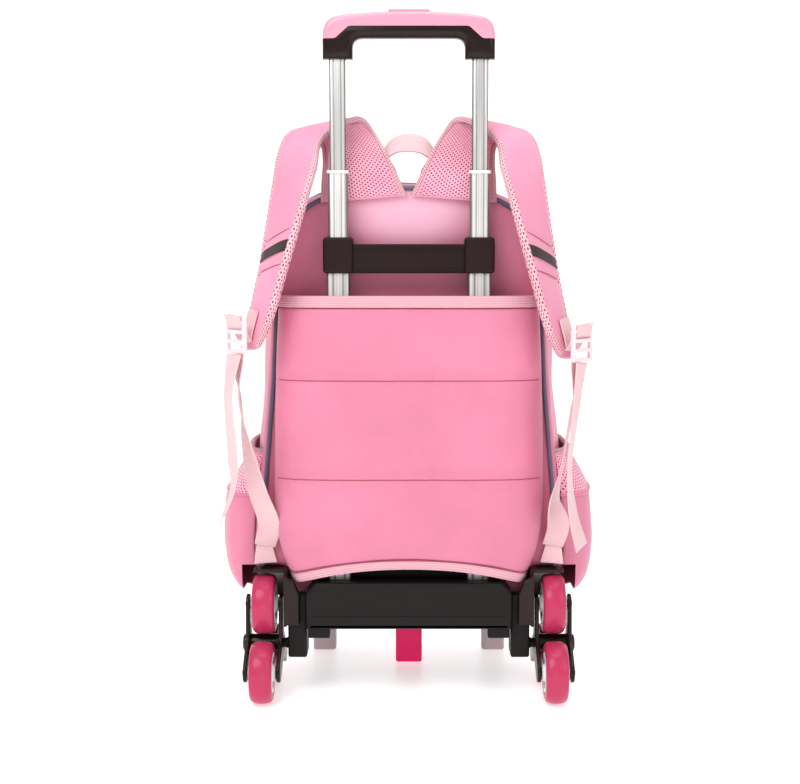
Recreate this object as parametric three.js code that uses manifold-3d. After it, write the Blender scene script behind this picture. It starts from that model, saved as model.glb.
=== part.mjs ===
// A child's wheeled backpack: a hollow zipped bag on a moulded base, two carriers of three wheels each
// for stairs, a two-stage telescoping handle behind a padded back sleeve, and two padded shoulder straps.
// Millimetres, +Z up. The wearer's side faces -Y, the floor is Z = 0 and the handle stands in X = 0.
import * as THREE from "three";
import { mergeVertices } from "three/addons/utils/BufferGeometryUtils.js";
import Module from "manifold-3d";

const wasm = await Module();
wasm.setup();

// Fits
const gap = 0.3; // between pieces that touch
const slideGap = 0.7; // round a tube in the next tube
const spinGap = 0.6; // between a turning piece and its axle
const past = 60; // how far a cutting tool runs past what it cuts

// Bag
const bagHalfWidth = 158;
const bagHeight = 448;
const bagDepth = 172;
const bagSwell = 15; // how far the side gussets bulge
const bagCrown = 6; // how far the top bulges
const bagWall = 3;
const baseHeight = 92; // floor to the bag's bottom
const shoulderUp = 0.75; // share of the height where the round top starts
const topSquareness = 3; // exponent of the round top, 2 is an ellipse
const zipWidth = 7;
const zipDepthShare = 0.55;
const zipEndUp = 0.42;
const pipingRadius = 2.6;

// Back sleeve over the tubes
const sleeveHalfWidth = 136;
const sleeveHeight = 312;
const sleeveDepth = 40;
const sleevePadding = 9;
const sleeveDrop = 110; // from the bag's top down to the sleeve's top
const quiltDepth = 4;
const bindingHeight = 12.7;
const hemWidth = 9;
const hemArch = 19; // how far the hem's ends hang below its middle

// Side pockets
const pocketHeight = 162;
const pocketBulge = 32;
const pocketLength = 134;
const pocketStart = 14; // from the back panel to the pocket's near end
const pocketBottom = 8; // above the bag's bottom
const pocketWall = 2.5;
const pocketMeshHeight = 50;

// Telescoping handle
const tubeSpacing = 146;
const tubeSetback = 18; // tube centre in front of the back panel
const outerTube = { width: 24, depth: 18, wall: 1.2 };
const middleTubeOverlap = 255; // kept inside the outer tube
const innerTubeOverlap = 206; // kept inside the middle tube
const middleTubeShow = 68;
const innerTubeShow = 112;
const collarHeight = 3;
const collarRim = 1.2;
const bracketWidth = 31;
const bracketDepth = 26;
const bracketHeight = 37;
const bracketLift = 22; // above the sleeve's top
const crossBarHeight = 30;
const crossBarDepth = 9;

// Grip
const gripLegHeight = 20;
const gripLegWidth = 30.5;
const gripHeight = 48.5;
const gripDepth = 22;
const gripBevel = 4;
const gripSeamStep = 12.4;
const buttonLength = 42;
const buttonDepth = 14;
const buttonHeight = 8;
const buttonProud = 1.6;
const buttonTravel = 3;

// Base
const barHalfWidth = 108.5;
const barHeight = 48.7;
const barDepth = 34;
const barFront = 40; // in front of the back panel
const barChamfer = 11.5;
const trayThickness = 11.7;
const trayLip = 70;
const trayLipThickness = 4.4;
const trayLipHalfWidth = 104;
const housingWidth = 20;
const fenderWall = 3.5;
const footWidth = 27;
const footDepth = 24;
const footSetback = 2; // from the tray's front edge
const footSpacing = 200;
const centreFootWidth = 30;
const centreFootDepth = 26;
const centreFootShare = 0.58; // of the bag's depth
const centreFootLift = 3.5;

// Wheels
const wheelRadius = 32.5;
const wheelWidth = 24;
const wheelTread = 309.6; // between the left and right wheels' middles
const starRadius = 43; // carrier axle to wheel axle
const starPlate = 4.2;
const starTip = 11;
const axleRadius = 5;
const wheelPinRadius = 4;
const axleForward = -4; // of the back panel
const wheelClearance = 3.5; // sweep to the fender
const wheelSegments = 18;
const hubSegments = 12;
const wellSegments = 20;
const cornerSegments = 1; // of each rounded corner

// Shoulder straps
const strapRise = 72; // above the bag's top
const strapHeight = 242; // tip to ridge
const strapStandOff = 14; // the tip beyond the bag's side
const strapReach = 60; // towards the wearer
const strapThickness = 11;
const strapMesh = 1.6;
const rightStrapDrop = 9;
const bandWidth = 11;
const bandThickness = 1;
const webWidth = 25;
const webThickness = 1.6;
const lockHeight = 34;
const lockThickness = 5;
const lockRail = 4;
const webLockGap = 0.8;
const lockUp = 0.075; // lock's middle above the strap's tip, as a share of strapHeight

// Grab handle
const grabWidth = 25;
const grabRise = 50;
const grabHalfWidth = 23;
const grabThickness = 2.4;

// Places that follow from the sizes
const bagTop = baseHeight + bagHeight;
const bagMiddle = baseHeight + bagHeight / 2;
const sleeveTop = bagTop - sleeveDrop;
const bracketBottom = sleeveTop + bracketLift;
const bracketTop = bracketBottom + bracketHeight;
const collarTop = bracketTop + middleTubeShow;
const gripBottom = collarTop + innerTubeShow;
const gripTop = gripBottom + gripHeight;
const shrinkTube = (tube) => ({
  width: tube.width - 2 * tube.wall - 2 * slideGap,
  depth: tube.depth - 2 * tube.wall - 2 * slideGap,
  wall: tube.wall,
});
const middleTube = shrinkTube(outerTube);
const innerTube = shrinkTube(middleTube);
const axleZ = wheelRadius + starRadius / 2;
const sweepRadius = starRadius + wheelRadius;
const fenderRadius = sweepRadius + wheelClearance;
const wellRadius = (fenderRadius + fenderWall + gap) / Math.cos(Math.PI / wellSegments);
const wheelX = wheelTread / 2;
const plateIn = wheelX - wheelWidth / 2 - starPlate - wheelClearance; // inner face of the inner plate
const plateOut = wheelX + wheelWidth / 2 + wheelClearance;
const housingIn = barHalfWidth + gap;
const fenderIn = housingIn + housingWidth + gap;
const barTop = baseHeight - trayThickness - gap + barHeight - gap;

// Materials
const finish = (color, roughness, metalness = 0) =>
  new THREE.MeshStandardMaterial({ color, roughness, metalness });
const pinkFabric = finish(0xec78a5, 0.75);
const meshFabric = finish(0xee88a8, 0.85);
const paleWebbing = finish(0xf8c8cc, 0.8);
const navyPiping = finish(0x4a4a78, 0.5);
const greyReflective = finish(0x4b4846, 0.45);
const palePlastic = finish(0xfbd8e2, 0.35);
const pinkPlastic = finish(0xff9db9, 0.3);
const hotPlastic = finish(0xf52d6e, 0.35);
const darkPlastic = finish(0x362424, 0.4);
const blackPlastic = finish(0x2a2828, 0.5);
const greyPlastic = finish(0xa58f95, 0.5);
const tyrePlastic = finish(0xe0446e, 0.25);
const whitePlastic = finish(0xf4f2f2, 0.35);
const aluminium = finish(0xc8c8cc, 0.3, 1);

const part = new THREE.Group();
const sides = [
  { name: "left", sign: -1, drop: 0 },
  { name: "right", sign: 1, drop: rightStrapDrop },
];
const at = (x, y, z) => new THREE.Vector3(x, y, z);

// Solids and meshes

function manifold(points, faces) {
  const make = (triVerts) => new wasm.Manifold(new wasm.Mesh({
    numProp: 3,
    vertProperties: new Float32Array(points.flatMap((p) => [p.x, p.y, p.z])),
    triVerts: new Uint32Array(triVerts),
  }));
  const solid = make(faces);
  return solid.volume() > 0 ? solid : make(faces.slice().reverse());
}

function solidOf(geometry) {
  geometry.deleteAttribute("normal");
  geometry.deleteAttribute("uv");
  const merged = mergeVertices(geometry, 1e-4);
  const place = merged.attributes.position;
  const points = Array.from({ length: place.count }, (_, i) => at(place.getX(i), place.getY(i), place.getZ(i)));
  return manifold(points, Array.from(merged.index.array));
}

function addPiece(group, name, solid, material) {
  const made = solid.getMesh();
  const geometry = new THREE.BufferGeometry();
  geometry.setAttribute("position", new THREE.BufferAttribute(new Float32Array(made.vertProperties), 3));
  geometry.setIndex(new THREE.BufferAttribute(new Uint32Array(made.triVerts), 1));
  geometry.computeVertexNormals();
  const mesh = new THREE.Mesh(geometry, material);
  mesh.name = name;
  group.add(mesh);
}

// Triangles over one ring of points, wound as the ring is.
function capFaces(ring, first) {
  const normal = at(0, 0, 0);
  ring.forEach((p, i) => normal.add(p.clone().cross(ring[(i + 1) % ring.length])));
  normal.normalize();
  const across = ring[1].clone().sub(ring[0]).normalize();
  const along = normal.clone().cross(across);
  const flat = ring.map((p) => new THREE.Vector2(p.dot(across), p.dot(along)));
  return THREE.ShapeUtils.triangulateShape(flat, []).flatMap(([a, b, c]) => {
    const turn = flat[b].clone().sub(flat[a]).cross(flat[c].clone().sub(flat[a]));
    return turn > 0 ? [first + a, first + b, first + c] : [first + a, first + c, first + b];
  });
}

// A closed solid through rings that all have the same number of points.
function loft(rings) {
  const count = rings[0].length;
  const faces = [];
  for (let i = 0; i + 1 < rings.length; i++) {
    for (let j = 0; j < count; j++) {
      const a = i * count + j;
      const b = i * count + ((j + 1) % count);
      faces.push(a, b, b + count, a, b + count, a + count);
    }
  }
  faces.push(...capFaces(rings[0], 0).reverse());
  faces.push(...capFaces(rings.at(-1), (rings.length - 1) * count));
  return manifold(rings.flat(), faces);
}

function box(x0, x1, y0, y1, z0, z1) {
  const geometry = new THREE.BoxGeometry(x1 - x0, y1 - y0, z1 - z0);
  geometry.translate((x0 + x1) / 2, (y0 + y1) / 2, (z0 + z1) / 2);
  return solidOf(geometry);
}

// A flat outline in X and Z, pushed from y0 to y1, with an optional bevel.
function slabXZ(points, y0, y1, bevel = 0) {
  const shape = new THREE.Shape(points.map(([x, z]) => new THREE.Vector2(x, z)));
  const geometry = new THREE.ExtrudeGeometry(shape, {
    depth: y1 - y0 - 2 * bevel,
    bevelEnabled: bevel > 0,
    bevelThickness: bevel,
    bevelSize: bevel,
    bevelOffset: -bevel,
    bevelSegments: 1,
  });
  geometry.rotateX(Math.PI / 2);
  geometry.translate(0, y1 - bevel, 0);
  return solidOf(geometry);
}

// A flat outline in Y and Z, pushed from x0 to x1.
function slabYZ(points, x0, x1) {
  const low = Math.min(x0, x1);
  const high = Math.max(x0, x1);
  return loft([low, high].map((x) => points.map(([y, z]) => at(x, y, z))));
}

// A rod along X.
function rodX(radius, x0, x1, y, z, segments = 12) {
  const ring = Array.from({ length: segments }, (_, i) => {
    const turn = (i / segments) * 2 * Math.PI;
    return [y + radius * Math.cos(turn), z + radius * Math.sin(turn)];
  });
  return slabYZ(ring, x0, x1);
}

function roundedRectangle(width, depth, radius) {
  const shape = new THREE.Shape();
  const w = width / 2;
  const d = depth / 2;
  shape.moveTo(w - radius, -d);
  shape.absarc(w - radius, -d + radius, radius, -Math.PI / 2, 0);
  shape.absarc(w - radius, d - radius, radius, 0, Math.PI / 2);
  shape.absarc(-w + radius, d - radius, radius, Math.PI / 2, Math.PI);
  shape.absarc(-w + radius, -d + radius, radius, Math.PI, 1.5 * Math.PI);
  return shape;
}

// An upright rounded block.
function post(x, y, z0, z1, width, depth, radius) {
  const shape = roundedRectangle(width, depth, radius);
  const geometry = new THREE.ExtrudeGeometry(shape, { depth: z1 - z0, bevelEnabled: false, curveSegments: cornerSegments });
  geometry.translate(x, y, z0);
  return solidOf(geometry);
}

// A value from a table of rows, between the rows on either side of the place.
function between(rows, key, place, column) {
  const next = rows.findIndex((row) => row[key] >= place);
  if (next === 0) return rows[0][column];
  if (next < 0) return rows.at(-1)[column];
  const low = rows[next - 1];
  const high = rows[next];
  return low[column] + ((high[column] - low[column]) * (place - low[key])) / (high[key] - low[key]);
}

// Bag

// Half-width of the back outline by height, as shares of bagHalfWidth and bagHeight.
const sideRows = [
  { up: 0.0, half: 0.94 },
  { up: 0.035, half: 0.985 },
  { up: 0.15, half: 1.0 },
  { up: 0.26, half: 0.978 },
  { up: 0.43, half: 0.935 },
  { up: 0.55, half: 0.905 },
  { up: shoulderUp, half: 0.877 },
];
const roundTopSteps = 11;

// Sections from back to front: shares of bagDepth, bagSwell and bagCrown, and the outline's scale.
const depthRows = [
  { deep: 0.0, swell: 0.0, crown: 0.0, scale: 1 },
  { deep: 0.05, swell: 0.5, crown: 0.5, scale: 1 },
  { deep: 0.2, swell: 0.9, crown: 0.9, scale: 1 },
  { deep: 0.5, swell: 1.0, crown: 1.0, scale: 1 },
  { deep: 0.8, swell: 0.85, crown: 0.6, scale: 1 },
  { deep: 0.93, swell: 0.4, crown: -0.3, scale: 1 },
  { deep: 0.985, swell: -0.5, crown: -1.6, scale: 1 },
  { deep: 1.0, swell: -0.5, crown: -1.6, scale: 0.92 },
];

const superRound = (value) => Math.sign(value) * Math.abs(value) ** (2 / topSquareness);

// The back outline, right side up, round top, left side down.
function backOutline() {
  const right = sideRows.map((row) => [row.half * bagHalfWidth, baseHeight + row.up * bagHeight]);
  const [shoulderX, shoulderZ] = right.at(-1);
  const top = Array.from({ length: roundTopSteps - 1 }, (_, i) => {
    const turn = ((i + 1) / roundTopSteps) * Math.PI;
    const x = shoulderX * superRound(Math.cos(turn));
    return [x, shoulderZ + (bagTop - shoulderZ) * superRound(Math.sin(turn))];
  });
  const left = right.map(([x, z]) => [-x, z]).reverse();
  return [...right, ...top, ...left];
}

function bagRing(row, inset) {
  const spread = (row.swell * bagSwell - inset) / bagHalfWidth;
  const lift = (row.crown * bagCrown - inset) / (bagHeight / 2);
  const sink = -inset / (bagHeight / 2);
  const y = inset + row.deep * (bagDepth - 2 * inset);
  return backOutline().map(([x, z]) => {
    const rise = (z - bagMiddle) * (1 + (z > bagMiddle ? lift : sink)) * row.scale;
    return at(x * (1 + spread) * row.scale, y, bagMiddle + rise);
  });
}

const bagBlock = (inset) => loft(depthRows.map((row) => bagRing(row, inset)));
const wheelWell = (sign, wall) =>
  rodX(wellRadius + wall, sign * (fenderIn - gap - wall), sign * (bagHalfWidth + past), axleForward, axleZ, wellSegments);
const withoutWells = (solid, wall) => sides.reduce((cut, side) => cut.subtract(wheelWell(side.sign, wall)), solid);
const bagSkin = withoutWells(bagBlock(0), 0);
const bagSpace = withoutWells(bagBlock(bagWall), bagWall);
const bagWalls = bagSkin.subtract(bagSpace);
const bagWithGap = bagBlock(-gap);

function zipTool(shrink) {
  const middle = zipDepthShare * bagDepth;
  const half = zipWidth / 2 - shrink;
  const end = baseHeight + zipEndUp * bagHeight + shrink;
  const wide = bagHalfWidth + past;
  return box(-wide, wide, middle - half, middle + half, end, bagTop + past);
}

// The piping lies in a groove along the edge of the back panel, from one wheel well over the top to the other.
function pipingCord(radius, shorten) {
  const start = axleZ + wellRadius + shorten;
  const line = backOutline().filter(([, z]) => z > start + pipingRadius);
  const foot = (sign) => [sign * between(sideRows, "up", (start - baseHeight) / bagHeight, "half") * bagHalfWidth, start];
  return cordAlong([foot(1), ...line, foot(-1)].map(([x, z]) => at(x, gap, z)), radius);
}

function makeBag() {
  const groove = pipingCord(pipingRadius + gap, -past / 10);
  addPiece(part, "bag_shell", bagWalls.subtract(zipTool(0)).subtract(groove), pinkFabric);
  addPiece(part, "main_zip", bagWalls.intersect(zipTool(gap)), navyPiping);
  addPiece(part, "back_piping", pipingCord(pipingRadius, gap), navyPiping);
}

// A six-sided cord along points in a plane of constant Y.
function cordAlong(points, radius) {
  const corners = 6;
  const rings = points.map((point, i) => {
    const along = points[Math.min(i + 1, points.length - 1)].clone().sub(points[Math.max(i - 1, 0)]).normalize();
    const out = at(0, 1, 0).cross(along);
    return Array.from({ length: corners }, (_, k) => {
      const turn = (k / corners) * 2 * Math.PI;
      return point.clone()
        .addScaledVector(out, radius * Math.cos(turn))
        .addScaledVector(at(0, 1, 0), radius * Math.sin(turn));
    });
  });
  return loft(rings);
}

// Side pockets

// Bulge by height, as shares of pocketHeight and pocketBulge.
const pocketRows = [
  { up: 0.0, bulge: 0.3 },
  { up: 0.06, bulge: 0.75 },
  { up: 0.2, bulge: 1.0 },
  { up: 0.55, bulge: 1.06 },
  { up: 0.7, bulge: 1.0 },
  { up: 0.86, bulge: 0.62 },
  { up: 1.0, bulge: 0.22 },
];
const pocketInset = 12; // how far the pocket's ends reach into the bag before they are cut

function pocketBlock(sign, wall) {
  const middle = pocketStart + pocketLength / 2;
  const steps = 8;
  const top = wall > 0 ? [{ up: 1.2, bulge: 0.22 }] : [];
  return loft([...pocketRows, ...top].map((row, i) => {
    const z = baseHeight + pocketBottom + row.up * pocketHeight + (i === 0 ? wall : 0);
    const side = between(sideRows, "up", (z - baseHeight) / bagHeight, "half") * bagHalfWidth + bagSwell;
    const reach = row.bulge * pocketBulge - wall + pocketInset;
    const curve = Array.from({ length: steps + 1 }, (_, k) => {
      const turn = (k / steps) * Math.PI;
      const x = side - pocketInset + reach * Math.sin(turn) ** 0.55;
      return at(sign * x, middle - (pocketLength / 2 - wall) * Math.cos(turn), z);
    });
    const deep = sign * (side - past);
    return [at(deep, curve[0].y, z), ...curve, at(deep, curve.at(-1).y, z)];
  }));
}

function makePockets() {
  const seam = baseHeight + pocketBottom + pocketHeight - pocketMeshHeight;
  const wide = bagHalfWidth + pocketBulge + past;
  for (const { name, sign } of sides) {
    const walls = pocketBlock(sign, 0).subtract(pocketBlock(sign, pocketWall)).subtract(bagWithGap);
    const lower = box(-wide, wide, -past, bagDepth + past, 0, seam - gap / 2);
    const upper = box(-wide, wide, -past, bagDepth + past, seam + gap / 2, bagTop);
    addPiece(part, `side_pocket_${name}`, withoutWells(walls.intersect(lower), 0), pinkFabric);
    addPiece(part, `side_pocket_mesh_${name}`, walls.intersect(upper), meshFabric);
  }
}

// Back sleeve

// Half the outer line of the section, from the sewn edge to the middle.
const sleeveLine = [
  { across: 1.0, out: 0.0 },
  { across: 0.985, out: 0.35 },
  { across: 0.925, out: 0.74 },
  { across: 0.8, out: 0.93 },
  { across: 0.45, out: 1.0 },
  { across: 0.0, out: 1.02 },
];
// Sections from the bottom up: shares of the height and half-width, and the quilting's depth.
const sleeveRows = [
  { up: 0.0, half: 0.845, quilt: 0 },
  { up: 0.055, half: 0.885, quilt: 0 },
  { up: 0.14, half: 0.935, quilt: 0 },
  { up: 0.34, half: 0.965, quilt: 0 },
  { up: 0.38, half: 0.968, quilt: 1 },
  { up: 0.42, half: 0.972, quilt: 0 },
  { up: 0.67, half: 0.985, quilt: 0 },
  { up: 0.71, half: 0.987, quilt: 1 },
  { up: 0.75, half: 0.99, quilt: 0 },
  { up: 1.0, half: 1.0, quilt: 0 },
];

function sleeveRing(half, z, quilt) {
  const outer = sleeveLine.map((row) => at(row.across * half, -gap - row.out * (sleeveDepth - gap - quilt), z));
  const full = sleeveLine.map((row) => at(row.across * half, -gap - row.out * (sleeveDepth - gap), z));
  const inner = full.map((point, i) => {
    const before = full[Math.max(i - 1, 0)];
    const after = full[Math.min(i + 1, full.length - 1)];
    const along = after.clone().sub(before).normalize();
    const place = point.clone().addScaledVector(at(-along.y, along.x, 0), -sleevePadding);
    place.y = Math.min(place.y, -gap);
    place.x = Math.max(place.x, 0);
    return place;
  });
  inner[0].y = -gap;
  const mirror = (line) => line.slice(0, -1).map((p) => at(-p.x, p.y, p.z)).reverse();
  return [...outer, ...mirror(outer), ...mirror(inner).reverse(), ...inner.slice().reverse()];
}

function hemTool(raise) {
  const steps = 10;
  const middleZ = sleeveTop - sleeveHeight + hemArch + 6 + raise;
  const end = sleeveHalfWidth * sleeveRows[0].half;
  const wide = sleeveHalfWidth + past;
  const arch = Array.from({ length: steps + 1 }, (_, i) => {
    const x = (i / steps) * 2 - 1;
    return [x * end, middleZ - hemArch * Math.abs(x) ** 2.2];
  });
  return slabXZ([[-wide, 0], [-wide, middleZ - hemArch], ...arch, [wide, middleZ - hemArch], [wide, 0]], -past, past);
}

function makeSleeve() {
  const bottom = sleeveTop - sleeveHeight;
  const bodyTop = sleeveTop - bindingHeight - gap;
  const rows = sleeveRows.map((row) => sleeveRing(
    row.half * sleeveHalfWidth,
    bottom + row.up * (bodyTop - bottom),
    row.quilt * quiltDepth,
  ));
  const padded = loft(rows);
  const binding = loft([sleeveTop - bindingHeight, sleeveTop].map((z) => sleeveRing(sleeveHalfWidth, z, 0)));
  addPiece(part, "back_sleeve", padded.subtract(hemTool(hemWidth)), pinkFabric);
  addPiece(part, "sleeve_top_binding", binding, paleWebbing);
  const hem = padded.intersect(hemTool(hemWidth - gap)).subtract(hemTool(0));
  addPiece(part, "sleeve_hem_binding", hem, paleWebbing);
}

// Shoulder straps

// Inner and outer edges from the root over the ridge to the tip. X as shares of the strap's spread,
// Y towards the wearer as shares of strapReach, Z as shares of strapHeight above the tip.
const strapRows = [
  { inX: 0.018, inY: 0.066, inUp: 0.665, outX: 0.523, outY: 0.066, outUp: 0.636, thick: 0.38 },
  { inX: 0.076, inY: 0.064, inUp: 0.752, outX: 0.517, outY: 0.064, outUp: 0.731, thick: 0.4 },
  { inX: 0.151, inY: -0.13, inUp: 0.86, outX: 0.512, outY: -0.13, outUp: 0.826, thick: 0.85 },
  { inX: 0.221, inY: -0.28, inUp: 0.942, outX: 0.535, outY: -0.33, outUp: 0.893, thick: 0.85 },
  { inX: 0.285, inY: -0.2, inUp: 0.996, outX: 0.645, outY: -0.37, outUp: 0.95, thick: 0.75 },
  { inX: 0.395, inY: -0.03, inUp: 0.975, outX: 0.74, outY: -0.12, outUp: 0.922, thick: 0.75 },
  { inX: 0.53, inY: 0.15, inUp: 0.9, outX: 0.785, outY: 0.02, outUp: 0.84, thick: 0.85 },
  { inX: 0.56, inY: 0.5, inUp: 0.785, outX: 0.81, outY: 0.06, outUp: 0.725, thick: 1.0 },
  { inX: 0.62, inY: 0.8, inUp: 0.63, outX: 0.85, outY: 0.12, outUp: 0.54, thick: 1.0 },
  { inX: 0.725, inY: 0.98, inUp: 0.38, outX: 0.9, outY: 0.18, outUp: 0.33, thick: 1.0 },
  { inX: 0.835, inY: 0.93, inUp: 0.13, outX: 0.965, outY: 0.26, outUp: 0.12, thick: 0.95 },
  { inX: 0.915, inY: 0.78, inUp: 0.02, outX: 0.998, outY: 0.45, outUp: 0.01, thick: 0.8 },
];
const strapSteps = 20;
const strapSpread = bagHalfWidth + strapStandOff;
const strapTipZ = bagTop + strapRise - strapHeight;

// Both edge curves and the thickness of one strap, as functions of a share along it.
function strapCurves({ sign, drop }) {
  const point = (x, y, up) => {
    const sag = drop * THREE.MathUtils.smoothstep(1 - up, 0.1, 0.9);
    return at(sign * x * strapSpread, -y * strapReach, strapTipZ + up * strapHeight - sag);
  };
  const hangs = strapRows.findIndex((row) => row.inUp > 0.99);
  const edge = (which) => new THREE.CatmullRomCurve3(strapRows.map((row, i) => {
    const place = point(row[`${which}X`], row[`${which}Y`], row[`${which}Up`]);
    if (i < hangs) place.z = strapTipZ + row[`${which}Up`] * strapHeight;
    return place;
  }), false, "centripetal");
  const thickness = (t) => {
    const place = t * (strapRows.length - 1);
    const low = Math.min(Math.floor(place), strapRows.length - 2);
    return THREE.MathUtils.lerp(strapRows[low].thick, strapRows[low + 1].thick, place - low) * strapThickness;
  };
  const inner = edge("in");
  const outer = edge("out");
  return { at: (t, across) => outer.getPoint(t).lerp(inner.getPoint(t), across), thickness };
}

// A point off the strap's middle surface: across runs from the outer to the inner edge, lift is along
// the normal, positive on the smooth outside.
function strapPoint(curves, sign, t, across, lift) {
  const step = 0.01;
  const along = curves.at(Math.min(t + step, 1), across).sub(curves.at(Math.max(t - step, 0), across));
  const width = curves.at(t, 1).sub(curves.at(t, 0));
  const normal = along.cross(width).multiplyScalar(-sign).normalize();
  return curves.at(t, across).addScaledVector(normal, lift);
}

// A slab of the strap between two shares along it and two lifts off its middle surface.
function strapSlab(side, span, lifts, acrossList, steps) {
  const curves = strapCurves(side);
  const rings = Array.from({ length: steps + 1 }, (_, i) => {
    const t = THREE.MathUtils.lerp(span[0], span[1], i / steps);
    const [low, high] = lifts(curves.thickness(t) / 2);
    const rounding = (across) => (Math.abs(across - 0.5) > 0.49 ? 0.55 : 1);
    const middle = (low + high) / 2;
    const ease = (lift, across) => middle + (lift - middle) * rounding(across);
    const upper = acrossList.map((across) => strapPoint(curves, side.sign, t, across, ease(high, across)));
    const lower = acrossList.map((across) => strapPoint(curves, side.sign, t, across, ease(low, across)));
    return [...upper, ...lower.reverse()];
  });
  return loft(rings);
}

const bandPlace = 0.79; // share along the strap of the reflective band

function makeStraps() {
  const wide = [0, 0.12, 0.5, 0.88, 1];
  for (const side of sides) {
    const curves = strapCurves(side);
    const padded = strapSlab(side, [0, 1], (half) => [-half, half], wide, strapSteps);
    addPiece(part, `shoulder_strap_${side.name}`, padded, pinkFabric);
    const lining = strapSlab(
      side,
      [1 / strapSteps, 1 - 1 / strapSteps],
      (half) => [-half - gap - strapMesh, -half - gap],
      wide.slice(1, -1),
      strapSteps - 2,
    );
    const clearance = strapSlab(side, [0, 1], (half) => [-half - gap, half + gap], wide, strapSteps);
    addPiece(part, `strap_mesh_${side.name}`, lining.subtract(clearance), meshFabric);
    const step = 0.01;
    const before = curves.at(bandPlace - step, 0.5);
    const run = curves.at(bandPlace + step, 0.5).distanceTo(before) / (2 * step);
    const share = bandWidth / 2 / run;
    const band = strapSlab(
      side,
      [bandPlace - share, bandPlace + share],
      (half) => [half + 3 * gap, half + 3 * gap + bandThickness],
      [0.13, 0.5, 0.87],
      2,
    );
    addPiece(part, `reflective_band_${side.name}`, band, greyReflective);
  }
}

// Webbing

// A flat ribbon along points: each row has its place and the direction of its width, in degrees
// about Z from +X, and its width as a share of webWidth.
function ribbon(rows, thickness, width, steps) {
  const path = new THREE.CatmullRomCurve3(rows.map((row) => row.place), false, "centripetal");
  const value = (t, column) => {
    const spot = t * (rows.length - 1);
    const low = Math.min(Math.floor(spot), rows.length - 2);
    return THREE.MathUtils.lerp(rows[low][column], rows[low + 1][column], spot - low);
  };
  const rings = Array.from({ length: steps + 1 }, (_, i) => {
    const t = i / steps;
    const along = path.getTangent(t);
    const turn = THREE.MathUtils.degToRad(value(t, "turn"));
    const flat = at(Math.cos(turn), Math.sin(turn), 0);
    const across = flat.addScaledVector(along, -flat.dot(along)).normalize();
    const normal = along.clone().cross(across);
    const w = (width * value(t, "wide")) / 2;
    const h = thickness / 2;
    return [[w, h], [-w, h], [-w, -h], [w, -h]].map(([a, b]) =>
      path.getPoint(t).addScaledVector(across, a).addScaledVector(normal, b));
  });
  return loft(rings);
}

// Places beside the bag: X beyond the outline's half-width, Y towards the wearer, Z above the floor.
function besideBag(sign, beyond, towards, z) {
  const half = between(sideRows, "up", (z - baseHeight) / bagHeight, "half") * bagHalfWidth;
  return at(sign * (half + beyond), -towards, z);
}

// Each run: how far beyond the bag's side, towards the wearer and below the lock, turned and widened.
const webRows = {
  left: {
    run: [
      { beyond: 36, towards: 44, below: 0.0, turn: 48, wide: 1 },
      { beyond: 29, towards: 43, below: 0.23, turn: 88, wide: 1 },
      { beyond: 19, towards: 37, below: 0.46, turn: 60, wide: 1 },
      { beyond: 5, towards: 29, below: 0.7, turn: 30, wide: 1 },
      { beyond: -8, towards: 16, below: 0.88, turn: 15, wide: 1 },
      { beyond: -4, towards: 5.8, below: 1.0, turn: 0, wide: 0.9 },
    ],
    tail: [
      { beyond: 37, towards: 49.5, below: 0.0, turn: 50, wide: 1 },
      { beyond: 40, towards: 56, below: 0.2, turn: 65, wide: 1 },
      { beyond: 31, towards: 56, below: 0.5, turn: 60, wide: 1 },
      { beyond: 29, towards: 52, below: 0.67, turn: 75, wide: 1 },
      { beyond: 39, towards: 48, below: 0.83, turn: 85, wide: 1 },
    ],
  },
  right: {
    run: [
      { beyond: 33, towards: 44, below: 0.0, turn: 48, wide: 1 },
      { beyond: 22, towards: 42, below: 0.26, turn: 88, wide: 1 },
      { beyond: 8, towards: 36, below: 0.55, turn: 80, wide: 1 },
      { beyond: -2, towards: 26, below: 0.75, turn: 60, wide: 1 },
      { beyond: 2, towards: 15, below: 0.89, turn: 15, wide: 1 },
      { beyond: -4, towards: 5.8, below: 1.0, turn: 0, wide: 0.9 },
    ],
    tail: [
      { beyond: 34, towards: 52, below: 0.0, turn: 60, wide: 1 },
      { beyond: 25, towards: 56, below: 0.25, turn: 70, wide: 1 },
      { beyond: 14, towards: 56, below: 0.55, turn: 75, wide: 1 },
      { beyond: 15, towards: 50, below: 0.8, turn: 65, wide: 1 },
      { beyond: 22, towards: 46, below: 0.97, turn: 55, wide: 1 },
    ],
  },
};
const anchorUp = 0.155; // share of the bag's height
const webSteps = 20;

function ladderLock({ sign, drop }) {
  const z = strapTipZ - drop + lockUp * strapHeight;
  const middle = besideBag(sign, 36, 47, z);
  const outer = new THREE.BoxGeometry(webWidth + 2 * lockRail, lockThickness, lockHeight);
  const frame = solidOf(outer);
  const slotHeight = (lockHeight - 4 * lockRail) / 3;
  const pitch = slotHeight + lockRail;
  const slots = [-1, 0, 1].map((step) => {
    const slot = new THREE.BoxGeometry(webWidth + 0.6, lockThickness + 2, slotHeight);
    slot.translate(0, 0, step * pitch);
    return solidOf(slot);
  });
  const cut = slots.reduce((solid, slot) => solid.subtract(slot), frame);
  return { z, middle, solid: cut.rotate([0, 0, sign * 48]).translate([middle.x, middle.y, middle.z]) };
}

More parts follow.
